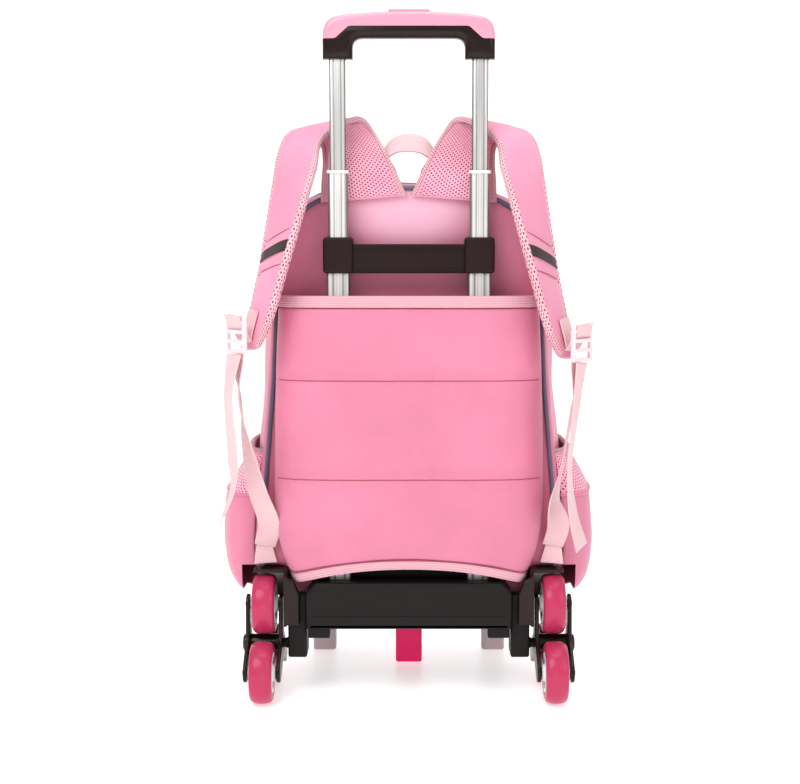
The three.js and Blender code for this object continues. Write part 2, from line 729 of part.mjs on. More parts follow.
function makeWebbing() {
  const anchorZ = baseHeight + anchorUp * bagHeight;
  for (const side of sides) {
    const lock = ladderLock(side);
    addPiece(part, `ladder_lock_${side.name}`, lock.solid, palePlastic);
    const start = lock.z - lockHeight / 2 - webLockGap;
    const rowsAt = (rows) => rows.map((row) => ({
      place: besideBag(side.sign, row.beyond, row.towards, start - row.below * (start - anchorZ)),
      turn: side.sign < 0 ? -row.turn : row.turn,
      wide: row.wide,
    }));
    const runs = webRows[side.name];
    addPiece(part, `webbing_run_${side.name}`, ribbon(rowsAt(runs.run), webThickness, webWidth, webSteps), paleWebbing);
    addPiece(part, `webbing_tail_${side.name}`, ribbon(rowsAt(runs.tail), webThickness, webWidth, webSteps), paleWebbing);
    const tabTop = besideBag(side.sign, -3, 3.7, anchorZ + 6);
    const tabLow = besideBag(side.sign, -4, 3.7, anchorZ - 20);
    const tab = ribbon([
      { place: tabTop, turn: 0, wide: 0.5 },
      { place: tabLow, turn: 0, wide: 1 },
    ], webThickness, webWidth, 2);
    addPiece(part, `anchor_tab_${side.name}`, tab, paleWebbing);
  }
}

// Grab handle: a webbing loop on the bag's top, leaning towards the wearer at its peak.
const grabRows = [
  { across: -0.55, up: 0.0, lean: 2 },
  { across: -0.62, up: 0.25, lean: 8 },
  { across: -1.0, up: 0.62, lean: 25 },
  { across: -0.6, up: 0.92, lean: 35 },
  { across: 0.05, up: 1.0, lean: 38 },
  { across: 0.65, up: 0.9, lean: 35 },
  { across: 1.0, up: 0.6, lean: 25 },
  { across: 0.6, up: 0.25, lean: 8 },
  { across: 0.52, up: 0.0, lean: 2 },
];
const grabSetback = 20; // of the back panel

function makeGrabHandle() {
  const foot = bagTop + bagCrown + gap;
  const path = new THREE.CatmullRomCurve3(
    grabRows.map((row) => at(row.across * grabHalfWidth, grabSetback, foot + row.up * grabRise)),
    false,
    "centripetal",
  );
  const steps = 20;
  const rings = Array.from({ length: steps + 1 }, (_, i) => {
    const t = i / steps;
    const spot = Math.min(t * (grabRows.length - 1), grabRows.length - 1.001);
    const low = Math.floor(spot);
    const lean = THREE.MathUtils.degToRad(
      THREE.MathUtils.lerp(grabRows[low].lean, grabRows[low + 1].lean, spot - low),
    );
    const along = path.getTangent(t);
    const flat = at(0, Math.cos(lean), Math.sin(lean));
    const across = flat.addScaledVector(along, -flat.dot(along)).normalize();
    const normal = along.clone().cross(across);
    const w = grabWidth / 2;
    const h = grabThickness / 2;
    return [[w, h], [-w, h], [-w, -h], [w, -h]].map(([a, b]) =>
      path.getPoint(t).addScaledVector(across, a).addScaledVector(normal, b));
  });
  addPiece(part, "grab_handle", loft(rings), paleWebbing);
}

// Telescoping handle

function tubeSolid(tube, x, z0, z1) {
  const corner = 4;
  const outer = post(x, -tubeSetback, z0, z1, tube.width, tube.depth, corner);
  const inner = post(
    x,
    -tubeSetback,
    z0 - 1,
    z1 + 1,
    tube.width - 2 * tube.wall,
    tube.depth - 2 * tube.wall,
    corner - tube.wall,
  );
  return outer.subtract(inner);
}

function makeTubes() {
  const bracketRim = 7; // what closes the bracket over the outer tube
  const outerTop = bracketTop - bracketRim;
  for (const { name, sign } of sides) {
    const x = (sign * tubeSpacing) / 2;
    addPiece(part, `outer_tube_${name}`, tubeSolid(outerTube, x, barTop + gap, outerTop), aluminium);
    const stage = tubeSolid(middleTube, x, bracketTop - middleTubeOverlap, collarTop);
    const rim = {
      width: middleTube.width + 2 * collarRim,
      depth: middleTube.depth + 2 * collarRim,
      wall: collarRim + 0.2,
    };
    const collar = tubeSolid(rim, x, collarTop - collarHeight, collarTop);
    addPiece(part, `middle_tube_${name}`, stage.add(collar), aluminium);
    const top = gripBottom + gripLegHeight - 6;
    addPiece(part, `inner_tube_${name}`, tubeSolid(innerTube, x, collarTop - innerTubeOverlap, top), aluminium);
  }
  const cross = slabXZ([
    [-tubeSpacing / 2, bracketBottom],
    [tubeSpacing / 2, bracketBottom],
    [tubeSpacing / 2, bracketBottom + crossBarHeight],
    [-tubeSpacing / 2, bracketBottom + crossBarHeight],
  ], -tubeSetback - crossBarDepth, -tubeSetback);
  const blocks = sides.reduce((solid, { sign }) => {
    const x = (sign * tubeSpacing) / 2;
    return solid.add(post(x, -tubeSetback, bracketBottom, bracketTop, bracketWidth, bracketDepth, 4));
  }, cross);
  const bored = sides.reduce((solid, { sign }) => {
    const x = (sign * tubeSpacing) / 2;
    const seat = post(
      x,
      -tubeSetback,
      bracketBottom - 1,
      outerTop + gap,
      outerTube.width + 2 * gap,
      outerTube.depth + 2 * gap,
      4,
    );
    const mouth = post(
      x,
      -tubeSetback,
      outerTop,
      bracketTop + 1,
      middleTube.width + 2 * slideGap,
      middleTube.depth + 2 * slideGap,
      4,
    );
    return solid.subtract(seat).subtract(mouth);
  }, blocks);
  addPiece(part, "tube_bracket", bored, blackPlastic);
}

// Grip

// Half of the grip's outline: shares of its half-width and height.
const gripOuter = [
  { across: 1.0, up: 0.0 },
  { across: 1.0, up: 0.52 },
  { across: 0.985, up: 0.68 },
  { across: 0.92, up: 0.82 },
  { across: 0.8, up: 0.9 },
  { across: 0.45, up: 0.97 },
  { across: 0.0, up: 1.0 },
];

function gripShape() {
  const half = tubeSpacing / 2 + gripLegWidth / 2 - 0.6;
  const legIn = half - gripLegWidth;
  const outer = gripOuter.map((row) => [row.across * half, gripBottom + row.up * gripHeight]);
  const archTop = gripBottom + gripLegHeight;
  const inner = [
    [0, archTop + 0.4],
    [legIn - 14, archTop + 1.5],
    [legIn - 5, archTop - 1],
    [legIn - 1, archTop - 6],
    [legIn, archTop - 11],
    [legIn, gripBottom],
  ];
  const right = [...inner, ...outer];
  const left = right.slice(1, -1).reverse().map(([x, z]) => [-x, z]);
  return [...right, ...left];
}

// Everything below the seam between the dark base and the pink shell.
function belowSeam(shift) {
  const half = tubeSpacing / 2 + gripLegWidth;
  const low = gripBottom + gripLegHeight - shift;
  const high = low + gripSeamStep;
  const step = tubeSpacing / 2;
  return slabXZ([
    [-half, gripBottom - past],
    [half, gripBottom - past],
    [half, low],
    [step + 2, low],
    [step - 12, high],
    [-step + 12, high],
    [-step - 2, low],
    [-half, low],
  ], -tubeSetback - past, -tubeSetback + past);
}

function makeGrip() {
  const whole = slabXZ(gripShape(), -tubeSetback - gripDepth / 2, -tubeSetback + gripDepth / 2, gripBevel);
  const buttonTop = gripTop + buttonProud;
  const button = post(0, -tubeSetback, buttonTop - buttonHeight, buttonTop, buttonLength, buttonDepth, 5);
  const well = post(
    0,
    -tubeSetback,
    buttonTop - buttonHeight - buttonTravel - gap,
    buttonTop + past,
    buttonLength + 2 * spinGap,
    buttonDepth + 2 * spinGap,
    5,
  );
  const base = sides.reduce((solid, { sign }) => solid.subtract(post(
    (sign * tubeSpacing) / 2,
    -tubeSetback,
    gripBottom - 1,
    gripBottom + gripLegHeight - 6 + gap,
    innerTube.width + 2 * gap,
    innerTube.depth + 2 * gap,
    4,
  )), whole.intersect(belowSeam(gap)));
  addPiece(part, "grip_base", base, darkPlastic);
  addPiece(part, "grip_shell", whole.subtract(belowSeam(0)).subtract(well), pinkPlastic);
  addPiece(part, "grip_button", button, pinkPlastic);
}

// Base

const trayTop = baseHeight - gap;
const trayBottom = trayTop - trayThickness;
const trayHalf = fenderIn - 2;
const lipFront = barFront - barDepth - gap;

function makeBase() {
  const bottom = trayBottom - 2;
  const bar = slabXZ([
    [-barHalfWidth, bottom],
    [barHalfWidth, bottom],
    [barHalfWidth, barTop - barChamfer],
    [barHalfWidth - barChamfer, barTop],
    [-barHalfWidth + barChamfer, barTop],
    [-barHalfWidth, barTop - barChamfer],
  ], -barFront, -barFront + barDepth, 3);
  const blockWidth = 23;
  const blockDrop = 11;
  const blocks = sides.map(({ sign }) => {
    const outer = sign * (barHalfWidth - 2);
    const inner = outer - sign * blockWidth;
    return box(Math.min(outer, inner), Math.max(outer, inner), -barFront + 6, -barFront + 26, bottom - blockDrop, bottom + 3);
  });
  addPiece(part, "base_bar", blocks.reduce((solid, block) => solid.add(block), bar), blackPlastic);

  const plate = box(-trayHalf, trayHalf, -lipFront, bagDepth - footSetback, trayBottom, trayTop);
  const lip = box(-trayLipHalfWidth, trayLipHalfWidth, -lipFront, -lipFront + trayLipThickness, trayBottom, trayBottom + trayLip);
  addPiece(part, "base_tray", plate.add(lip), blackPlastic);

  const footY = bagDepth - footSetback - footDepth / 2;
  for (const { name, sign } of sides) {
    const foot = post((sign * footSpacing) / 2, footY, 0, trayBottom - gap, footWidth, footDepth, 4);
    addPiece(part, `front_foot_${name}`, foot, greyPlastic);
  }
  const centre = post(
    0,
    centreFootShare * bagDepth,
    centreFootLift,
    trayBottom - gap,
    centreFootWidth,
    centreFootDepth,
    4,
  );
  addPiece(part, "centre_foot", centre, hotPlastic);
}

// The housing that carries each carrier's axle, with the axle itself.
function makeHousings() {
  const front = -22;
  const back = 14;
  const lowZ = axleZ - 12;
  const upTop = barTop - 17;
  for (const { name, sign } of sides) {
    const [x0, x1] = [sign * housingIn, sign * (housingIn + housingWidth)].sort((a, b) => a - b);
    const lower = box(x0, x1, front, back, lowZ, trayBottom - gap);
    const upper = box(x0, x1, front, -lipFront - gap, lowZ, upTop);
    const axle = rodX(axleRadius, sign * housingIn, sign * (plateOut + starPlate - 1), axleForward, axleZ);
    addPiece(part, `axle_housing_${name}`, lower.add(upper).add(axle), blackPlastic);
  }
}

// The fender: an arched guard over the wheels, its inner side plate and the cover in front of the housing.
function makeFenders() {
  const steps = 10;
  const from = THREE.MathUtils.degToRad(25);
  const to = THREE.MathUtils.degToRad(96);
  const outerRadius = fenderRadius + fenderWall;
  const polar = (radius, turn) => [axleForward + radius * Math.cos(turn), axleZ + radius * Math.sin(turn)];
  const arc = (radius) => Array.from({ length: steps + 1 }, (_, i) => polar(radius, from + ((to - from) * i) / steps));
  const guard = [...arc(outerRadius), ...arc(fenderRadius).reverse()];
  const coverFront = -30;
  const frontTurn = Math.acos((coverFront - axleForward) / outerRadius);
  const plateArc = Array.from({ length: steps + 1 }, (_, i) => polar(outerRadius, from + ((frontTurn - from) * i) / steps));
  const coverLow = trayBottom - 2;
  const plate = [...plateArc, [coverFront, coverLow], [plateArc[0][0], coverLow]];
  const coverWidth = 17;
  for (const { name, sign } of sides) {
    const x = (value) => sign * value;
    const outerX = wheelX + wheelWidth / 2 - 1;
    const wing = slabYZ(guard, x(fenderIn), x(outerX));
    const wall = slabYZ(plate, x(fenderIn), x(fenderIn + fenderWall));
    const innerX = fenderIn + fenderWall - coverWidth;
    const coverTop = plateArc.at(-1)[1] - 1;
    const cover = slabXZ([
      [x(innerX), coverLow],
      [x(innerX), coverTop - 18],
      [x(innerX + 4), coverTop - 11],
      [x(fenderIn + fenderWall), coverTop],
      [x(fenderIn + fenderWall), coverLow],
    ], coverFront, coverFront + 7);
    const hole = rodX(axleRadius + 3 * spinGap, x(fenderIn - 1), x(fenderIn + fenderWall + 1), axleForward, axleZ);
    addPiece(part, `fender_${name}`, wing.add(wall).add(cover).subtract(hole), darkPlastic);
  }
}

// Three-wheel carriers

const wheelTurns = [
  { name: "top", turn: 90 },
  { name: "near", turn: 210 },
  { name: "far", turn: 330 },
];
const wheelPlace = (turn) => {
  const angle = THREE.MathUtils.degToRad(turn);
  return [axleForward + starRadius * Math.cos(angle), axleZ + starRadius * Math.sin(angle)];
};

function starOutline(tip, waist) {
  return wheelTurns.flatMap(({ turn }) => {
    const [y, z] = wheelPlace(turn);
    const rounds = [-90, -45, 0, 45, 90].map((step) => {
      const angle = THREE.MathUtils.degToRad(turn + step);
      return [y + tip * Math.cos(angle), z + tip * Math.sin(angle)];
    });
    const angle = THREE.MathUtils.degToRad(turn + 60);
    const valley = [axleForward + waist * Math.cos(angle), axleZ + waist * Math.sin(angle)];
    return [...rounds, valley];
  });
}

function makeCarriers() {
  const outline = starOutline(starTip, 15);
  const coreRadius = axleRadius + spinGap + 4;
  for (const { name, sign } of sides) {
    const x = (value) => sign * value;
    const inner = slabYZ(outline, x(plateIn), x(plateIn + starPlate));
    const outer = slabYZ(outline, x(plateOut), x(plateOut + starPlate));
    const core = rodX(coreRadius, x(plateIn), x(plateOut + starPlate + 4), axleForward, axleZ);
    const pins = wheelTurns.map(({ turn }) => {
      const [y, z] = wheelPlace(turn);
      return rodX(wheelPinRadius, x(plateIn + 1), x(plateOut + 1), y, z, 8);
    });
    const bore = rodX(axleRadius + spinGap, x(plateIn - 1), x(plateOut + starPlate), axleForward, axleZ);
    const solid = pins.reduce((made, pin) => made.add(pin), inner.add(outer).add(core)).subtract(bore);
    addPiece(part, `star_carrier_${name}`, solid, darkPlastic);
    for (const wheel of wheelTurns) {
      const [y, z] = wheelPlace(wheel.turn);
      addWheel(`${name}_${wheel.name}`, sign * wheelX, y, z);
    }
  }
}

// Half of the tyre's section, from the bead out to the tread: shares of the half-width and radius.
const tyreLine = [
  { across: 0.9, radius: 0.68 },
  { across: 1.0, radius: 0.8 },
  { across: 0.68, radius: 0.955 },
  { across: 0.0, radius: 1.0 },
];

function lathe(profile, x, y, z, segments) {
  const closed = [...profile, profile[0]].map(([across, radius]) => new THREE.Vector2(radius, across));
  const geometry = new THREE.LatheGeometry(closed, segments);
  geometry.rotateZ(-Math.PI / 2);
  geometry.translate(x, y, z);
  return solidOf(geometry);
}

function addWheel(name, x, y, z) {
  const half = wheelWidth / 2;
  const right = tyreLine.map((row) => [row.across * half, row.radius * wheelRadius]);
  const left = right.slice(0, -1).reverse().map(([across, radius]) => [-across, radius]);
  addPiece(part, `tyre_${name}`, lathe([...right, ...left], x, y, z, wheelSegments), tyrePlastic);
  const rim = tyreLine[0].radius * wheelRadius * Math.cos(Math.PI / wheelSegments) - gap;
  const bore = wheelPinRadius + spinGap;
  const rimHalf = half * tyreLine[0].across;
  const hubHalf = half + wheelClearance - spinGap - 0.4;
  const hub = [
    [-hubHalf, bore],
    [-hubHalf, bore + 4],
    [-rimHalf, rim],
    [rimHalf, rim],
    [hubHalf, bore + 4],
    [hubHalf, bore],
  ];
  addPiece(part, `hub_${name}`, lathe(hub, x, y, z, hubSegments), whitePlastic);
}

makeBag();
makePockets();
makeSleeve();
makeStraps();
makeWebbing();
makeGrabHandle();
makeTubes();
makeGrip();
makeBase();
makeHousings();
makeFenders();
makeCarriers();

// The part's frame has its origin at the middle of its footprint, on the floor.
const bounds = new THREE.Box3().setFromObject(part);
const centre = bounds.getCenter(at(0, 0, 0));
part.children.forEach((piece) => piece.position.set(-centre.x, -centre.y, -bounds.min.z));

export default part;
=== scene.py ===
"""The looks of a child's wheeled backpack, modelled over the frame of its solids.

Metres, +Z up. The wearer's side faces -Y. Depths are measured from the plane of the back panel,
positive into the bag and negative towards the wearer.
"""

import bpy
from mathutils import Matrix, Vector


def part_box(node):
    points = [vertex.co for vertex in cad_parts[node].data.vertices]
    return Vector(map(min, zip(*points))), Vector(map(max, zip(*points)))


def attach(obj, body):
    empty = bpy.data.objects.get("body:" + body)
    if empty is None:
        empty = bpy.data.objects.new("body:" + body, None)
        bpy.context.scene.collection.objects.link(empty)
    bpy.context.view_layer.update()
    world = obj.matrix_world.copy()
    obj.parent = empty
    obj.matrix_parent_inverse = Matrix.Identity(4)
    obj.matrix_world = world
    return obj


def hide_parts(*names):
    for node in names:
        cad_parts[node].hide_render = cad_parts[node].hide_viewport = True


bl_info = {
    "name": "Wheeled Backpack",
    "version": (1, 0, 0),
    "blender": (4, 5, 0),
    "location": "View3D > Sidebar > Backpack",
    "description": "Dresses the solids of a wheeled backpack in cloth, webbing, plastic and aluminium",
    "category": "Object",
}

from math import acos, cos, exp, hypot, pi, radians, sin

import bpy
from bpy.props import FloatProperty, FloatVectorProperty, IntProperty, PointerProperty
from mathutils import Matrix, Vector, noise

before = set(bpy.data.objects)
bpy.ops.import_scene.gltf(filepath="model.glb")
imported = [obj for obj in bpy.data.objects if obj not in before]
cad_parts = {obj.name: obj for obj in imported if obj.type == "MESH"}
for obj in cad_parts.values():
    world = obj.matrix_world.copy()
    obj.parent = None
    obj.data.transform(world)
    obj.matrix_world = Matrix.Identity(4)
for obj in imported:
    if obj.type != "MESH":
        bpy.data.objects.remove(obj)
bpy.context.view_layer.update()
SIDES = {"left": -1, "right": 1}
WHEELS = {"top": 90, "near": 210, "far": 330}


# Places that come from the frame

def low(node):
    return Vector(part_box(node)[0])


def high(node):
    return Vector(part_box(node)[1])


def middle(node):
    return (low(node) + high(node)) / 2


BACK = low("bag_shell").y
BAG_LOW = low("bag_shell").z
BAG_HIGH = BAG_LOW + 0.448
TUBE = middle("outer_tube_right")
AXLE = Vector((middle("tyre_right_top").x, middle("tyre_right_top").y, 0.054))


def at(x, depth, z):
    """A point by its depth from the back panel."""
    return Vector((x, BACK + depth, z))


# What a user would change

def length(name, description, default):
    return FloatProperty(name=name, description=description, default=default, unit="LENGTH", precision=4)


def colour(name, description, default):
    return FloatVectorProperty(
        name=name, description=description, default=default, size=3, subtype="COLOR", min=0, max=1)


class BackpackSizes(bpy.types.PropertyGroup):
    seam_depth: length("Quilt seam depth", "How deep the sleeve's quilting is sewn", 0.0075)
    seam_width: length("Quilt seam width", "Half the width of the quilting's groove", 0.009)
    pucker: length("Pucker", "Height of the gathers beside the quilting", 0.0011)
    swelling: length("Swelling", "How far the padding may swell between its seams", 0.006)
    trim_radius: length("Strap trim", "Radius of the mesh trim on the shoulder straps' edges", 0.0031)
    piping_radius: length("Piping", "Radius of the piping round the back panel", 0.0026)
    mesh_pitch: length("Mesh pitch", "Distance between the holes of the air mesh", 0.0043)
    rib_pitch: length("Rib pitch", "Distance between the ribs of the webbing", 0.0016)
    cloth_step: length("Cloth step", "Size of the mesh that the cloth simulation works on", 0.006)
    wheel_segments: IntProperty(name="Wheel segments", description="Faces round a wheel", default=64, min=16)


class BackpackColours(bpy.types.PropertyGroup):
    cloth: colour("Cloth", "Satin-faced cloth of the bag, sleeve and straps", (0.62, 0.165, 0.275))
    mesh: colour("Air mesh", "Knitted mesh of the strap linings and pocket tops", (1.0, 0.42, 0.56))
    # The holes' colour: the layer beneath, darkened as painted shade
    mesh_hole: colour("Mesh hole", "Depth of the air mesh's holes", (0.30, 0.018, 0.06))
    webbing: colour("Webbing", "Woven tape and bindings", (0.88, 0.57, 0.60))
    # Painted shade: a dark red copy of the webbing for the grab handle's underside
    webbing_underside_shade: colour("Webbing underside shade", "Lining of the grab handle", (0.70, 0.12, 0.14))
    piping: colour("Piping", "Piping and zip", (0.105, 0.085, 0.15))
    reflective: colour("Reflective band", "Band across the shoulder straps", (0.045, 0.032, 0.034))
    pale_plastic: colour("Pale plastic", "Ladder locks", (0.90, 0.66, 0.70))
    grip: colour("Grip", "Grip shell and button", (0.86, 0.30, 0.40))
    dark_plastic: colour("Dark plastic", "Grip base, fenders and wheel carriers", (0.013, 0.0045, 0.004))
    black_plastic: colour("Black plastic", "Bracket, bar, tray and housings", (0.0075, 0.0055, 0.0055))
    tyre: colour("Tyre", "Wheel treads", (0.46, 0.032, 0.095))
    hub: colour("Hub", "Wheel hubs", (0.83, 0.80, 0.81))
    hot_pink: colour("Centre foot", "Centre foot", (1.0, 0.02, 0.16))
    foot: colour("Front feet", "Front feet", (0.52, 0.43, 0.45))
    aluminium: colour("Aluminium", "Telescoping tubes", (0.58, 0.57, 0.56))


def sizes():
    return bpy.context.scene.backpack_sizes


def colours():
    return bpy.context.scene.backpack_colours


# Handling objects

def deselect():
    if bpy.context.object and bpy.context.object.mode != "OBJECT":
        bpy.ops.object.mode_set(mode="OBJECT")
    bpy.ops.object.select_all(action="DESELECT")


def pick(piece):
    deselect()
    piece.select_set(True)
    bpy.context.view_layer.objects.active = piece


def called(name):
    """The active object, with its name."""
    piece = bpy.context.object
    piece.name = name
    piece.data.name = name
    return piece


def edit(piece, *steps):
    """Edit-mode steps on the whole piece."""
    pick(piece)
    bpy.ops.object.mode_set(mode="EDIT")
    bpy.ops.mesh.select_all(action="SELECT")
    for step in steps:
        step()
    bpy.ops.object.mode_set(mode="OBJECT")


def weld(piece, reach=1e-5):
    edit(
        piece,
        lambda: bpy.ops.mesh.remove_doubles(threshold=reach),
        lambda: bpy.ops.mesh.normals_make_consistent(inside=False),
    )


def close_ends(piece):
    edit(
        piece,
        lambda: bpy.ops.mesh.fill_holes(sides=0),
        lambda: bpy.ops.mesh.normals_make_consistent(inside=False),
    )


def modify(piece, kind, **settings):
    """One modifier, applied."""
    pick(piece)
    modifier = piece.modifiers.new(kind.title(), kind)
    for key, value in settings.items():
        setattr(modifier, key, value)
    bpy.ops.object.modifier_apply(modifier=modifier.name)


def wall(piece, thickness, offset=-1):
    modify(piece, "SOLIDIFY", thickness=thickness, offset=offset, use_even_offset=True)


def refine(piece):
    modify(piece, "SUBSURF", levels=1, render_levels=1)


def soften(piece, width, segments, degrees):
    """Rounds the edges that turn by more than so many degrees."""
    modify(piece, "BEVEL", width=width, segments=segments,
           limit_method="ANGLE", angle_limit=radians(degrees))


def shade(piece, degrees):
    pick(piece)
    bpy.ops.object.shade_smooth_by_angle(angle=radians(degrees))


def settle():
    """Puts the place, turn and scale of what is selected into its mesh."""
    bpy.ops.object.transform_apply(location=True, rotation=True, scale=True)


def place_copy(piece, name, shift=(0, 0, 0)):
    """A copy with its own mesh, moved by the shift."""
    pick(piece)
    bpy.ops.object.duplicate(linked=False)
    copied = called(name)
    bpy.ops.transform.translate(value=shift)
    settle()
    return copied


def mirror(piece):
    """Turns a piece of the right side into its like on the left."""
    pick(piece)
    piece.scale.x = -1
    settle()
    edit(piece, lambda: bpy.ops.mesh.normals_make_consistent(inside=False))


def joined(pieces, name):
    pick(pieces[0])
    for piece in pieces[1:]:
        piece.select_set(True)
    bpy.ops.object.join()
    return called(name)


def cut_away(piece, tool):
    modify(piece, "BOOLEAN", object=tool, operation="DIFFERENCE", solver="EXACT")
    bpy.data.objects.remove(tool, do_unlink=True)


def set_up(piece, body, slot, finish, instead=(), angle=35):
    """Shades a finished piece, gives it its material, hangs it on the empty of its body and hides the solids
    that it stands for.
    """
    shade(piece, angle)
    piece.data.materials.clear()
    piece.data.materials.append(finish)
    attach(piece, body)
    if instead:
        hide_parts(*instead)


# Curves and tables

def on_path(points, share):
    """A point on a smooth centripetal path through the points."""
    last = len(points) - 1
    place = min(max(share, 0.0), 1.0) * last
    i = min(int(place), last - 1)
    w = place - i
    b, c = points[i], points[i + 1]
    a = points[i - 1] if i > 0 else 2 * b - c
    d = points[i + 2] if i + 2 <= last else 2 * c - b
    before, here, after = [max((q - p).length, 1e-7) ** 0.5 for p, q in ((a, b), (b, c), (c, d))]
    leave = ((b - a) / before - (c - a) / (before + here) + (c - b) / here) * here
    reach = ((c - b) / here - (d - b) / (here + after) + (d - c) / after) * here
    return b + w * (leave + w * (3 * (c - b) - 2 * leave - reach + w * (2 * (b - c) + leave + reach)))


def eased(values, share):
    """A number on a smooth curve through evenly spaced values."""
    return on_path([Vector((i, value, 0)) for i, value in enumerate(values)], share).y


def listed(values, share):
    """A number on straight lines between evenly spaced values."""
    place = min(max(share, 0.0), 1.0) * (len(values) - 1)
    i = min(int(place), len(values) - 2)
    return values[i] + (values[i + 1] - values[i]) * (place - i)


def between(rows, key, place, name):
    """A column of a table at a place between two of its rows."""
    if place <= rows[0][key]:
        return rows[0][name]
    for before, after in zip(rows, rows[1:]):
        if place <= after[key]:
            share = (place - before[key]) / (after[key] - before[key])
            return before[name] + (after[name] - before[name]) * share
    return rows[-1][name]


def even(points, count, closed=False):
    """The same line with so many evenly spaced points."""
    line = [Vector(p) for p in points]
    if closed:
        line.append(line[0].copy())
    steps = [(q - p).length for p, q in zip(line, line[1:])]
    total = sum(steps)
    parts = count if closed else count - 1
    made = []
    i, passed = 0, 0.0
    for k in range(count):
        goal = total * k / parts
        while i < len(steps) - 1 and passed + steps[i] < goal:
            passed += steps[i]
            i += 1
        made.append(line[i].lerp(line[i + 1], min(max((goal - passed) / max(steps[i], 1e-9), 0), 1)))
    return made


def line_length(points):
    return sum((q - p).length for p, q in zip(points, points[1:]))


def smoothstep(value, start, end):
    share = min(max((value - start) / (end - start), 0), 1)
    return share * share * (3 - 2 * share)


def powered(value, power):
    """A power of the value's size, with the value's sign."""
    return (1 if value > 0 else -1) * abs(value) ** power


# Making meshes

def shaped_grid(name, across, along, place, cloth=(1, 1)):
    """A grid with each vertex put where place(u, v) says, and a UV map in metres of cloth."""
    deselect()
    bpy.ops.mesh.primitive_grid_add(x_subdivisions=across, y_subdivisions=along, size=2)
    piece = called(name)
    shares = [((v.co.x + 1) / 2, (v.co.y + 1) / 2) for v in piece.data.vertices]
    for vertex, (u, v) in zip(piece.data.vertices, shares):
        vertex.co = place(u, v)
    layer = piece.data.uv_layers.active
    for loop in piece.data.loops:
        u, v = shares[loop.vertex_index]
        layer.data[loop.index].uv = (u * cloth[0], v * cloth[1])
    return piece


def meshed(name, line):
    """The mesh of a curve."""
    made = bpy.data.objects.new(name, line)
    bpy.context.collection.objects.link(made)
    pick(made)
    bpy.ops.object.convert(target="MESH")
    return called(name)


def cord_along(name, points, radius, ribs=None, sides=3):
    """A round cord along points, its radius varied by ribs where they are given."""
    line = bpy.data.curves.new(name, "CURVE")
    line.dimensions = "3D"
    line.bevel_depth = radius
    line.bevel_resolution = sides
    line.use_fill_caps = True
    spline = line.splines.new("POLY")
    spline.points.add(len(points) - 1)
    for i, (knot, point) in enumerate(zip(spline.points, points)):
        knot.co = (*point, 1)
        knot.radius = ribs(i) if ribs else 1
    piece = meshed(name, line)
    weld(piece)
    return piece


# How a plate's flat outline lies in space, by the axis that it is pushed along
LIES = {
    "X": Matrix(((0, 0, 1, 0), (1, 0, 0, 0), (0, 1, 0, 0), (0, 0, 0, 1))),
    "Y": Matrix(((1, 0, 0, 0), (0, 0, -1, 0), (0, 1, 0, 0), (0, 0, 0, 1))),
    "Z": Matrix.Identity(4),
}


def plate(name, outlines, axis, start, end, bevel, rounding=3):
    """A plate cut to an outline, with holes for any further ones and rounded edges."""
    line = bpy.data.curves.new(name, "CURVE")
    line.dimensions = "2D"
    line.fill_mode = "BOTH"
    line.extrude = abs(end - start) / 2 - bevel
    line.bevel_depth = bevel
    line.bevel_resolution = rounding
    line.offset = -bevel
    for outline in outlines:
        spline = line.splines.new("POLY")
        spline.points.add(len(outline) - 1)
        spline.use_cyclic_u = True
        for knot, (a, b) in zip(spline.points, outline):
            knot.co = (a, b, 0, 1)
    piece = meshed(name, line)
    half = (start + end) / 2
    shift = {"X": (half, 0, 0), "Y": (0, half, 0), "Z": (0, 0, half)}[axis]
    piece.matrix_world = Matrix.Translation(shift) @ LIES[axis]
    settle()
    weld(piece)
    return piece


def arc(centre, radius, start, end, steps):
    """Points on an arc in a flat outline, the turns in degrees."""
    turns = [radians(start + (end - start) * i / steps) for i in range(steps + 1)]
    return [(centre[0] + radius * cos(t), centre[1] + radius * sin(t)) for t in turns]


def rounded(corners, radius, steps=6):
    """An outline with each corner rounded by the radius, or by its own where a third number gives it."""
    made = []
    for i, corner in enumerate(corners):
        here = Vector(corner[:2])
        before = Vector(corners[i - 1][:2])
        after = Vector(corners[(i + 1) % len(corners)][:2])
        bend = corner[2] if len(corner) > 2 else radius
        if bend <= 0:
            made.append(tuple(here))
            continue
        back, ahead = (before - here).normalized(), (after - here).normalized()
        half = acos(min(max(back.dot(ahead), -1), 1)) / 2
        reach = bend / max(sin(half) / cos(half), 1e-6)
        reach = min(reach, (before - here).length / 2, (after - here).length / 2)
        start, end = here + back * reach, here + ahead * reach
        for k in range(steps + 1):
            t = k / steps
            made.append(tuple(start * (1 - t) ** 2 + here * 2 * t * (1 - t) + end * t ** 2))
    return made


def sided_outline(x0, x1, z0, z1, radius):
    """A rectangle with rounded corners, by its sides."""
    return rounded([(x0, z0), (x1, z0), (x1, z1), (x0, z1)], radius)


def block_outline(width, depth, radius, centre=(0, 0), steps=5):
    """A rectangle with rounded corners, by its size and centre."""
    w, d = width / 2, depth / 2
    corners = [(w, -d), (w, d), (-w, d), (-w, -d)]
    return [(x + centre[0], y + centre[1]) for x, y in rounded(corners, radius, steps)]


def turned(name, profile, centre, segments):
    """A body turned about the X axis through the centre, from a closed line of (across, radius)."""
    deselect()
    bpy.ops.mesh.primitive_circle_add(vertices=len(profile), fill_type="NOTHING")
    piece = called(name)
    for vertex, (across, radius) in zip(piece.data.vertices, profile):
        vertex.co = Vector(centre) + Vector((across, 0, radius))
    edit(
        piece,
        lambda: bpy.ops.mesh.spin(steps=segments, angle=2 * pi, center=centre, axis=(1, 0, 0)),
    )
    weld(piece, 2e-5)
    return piece


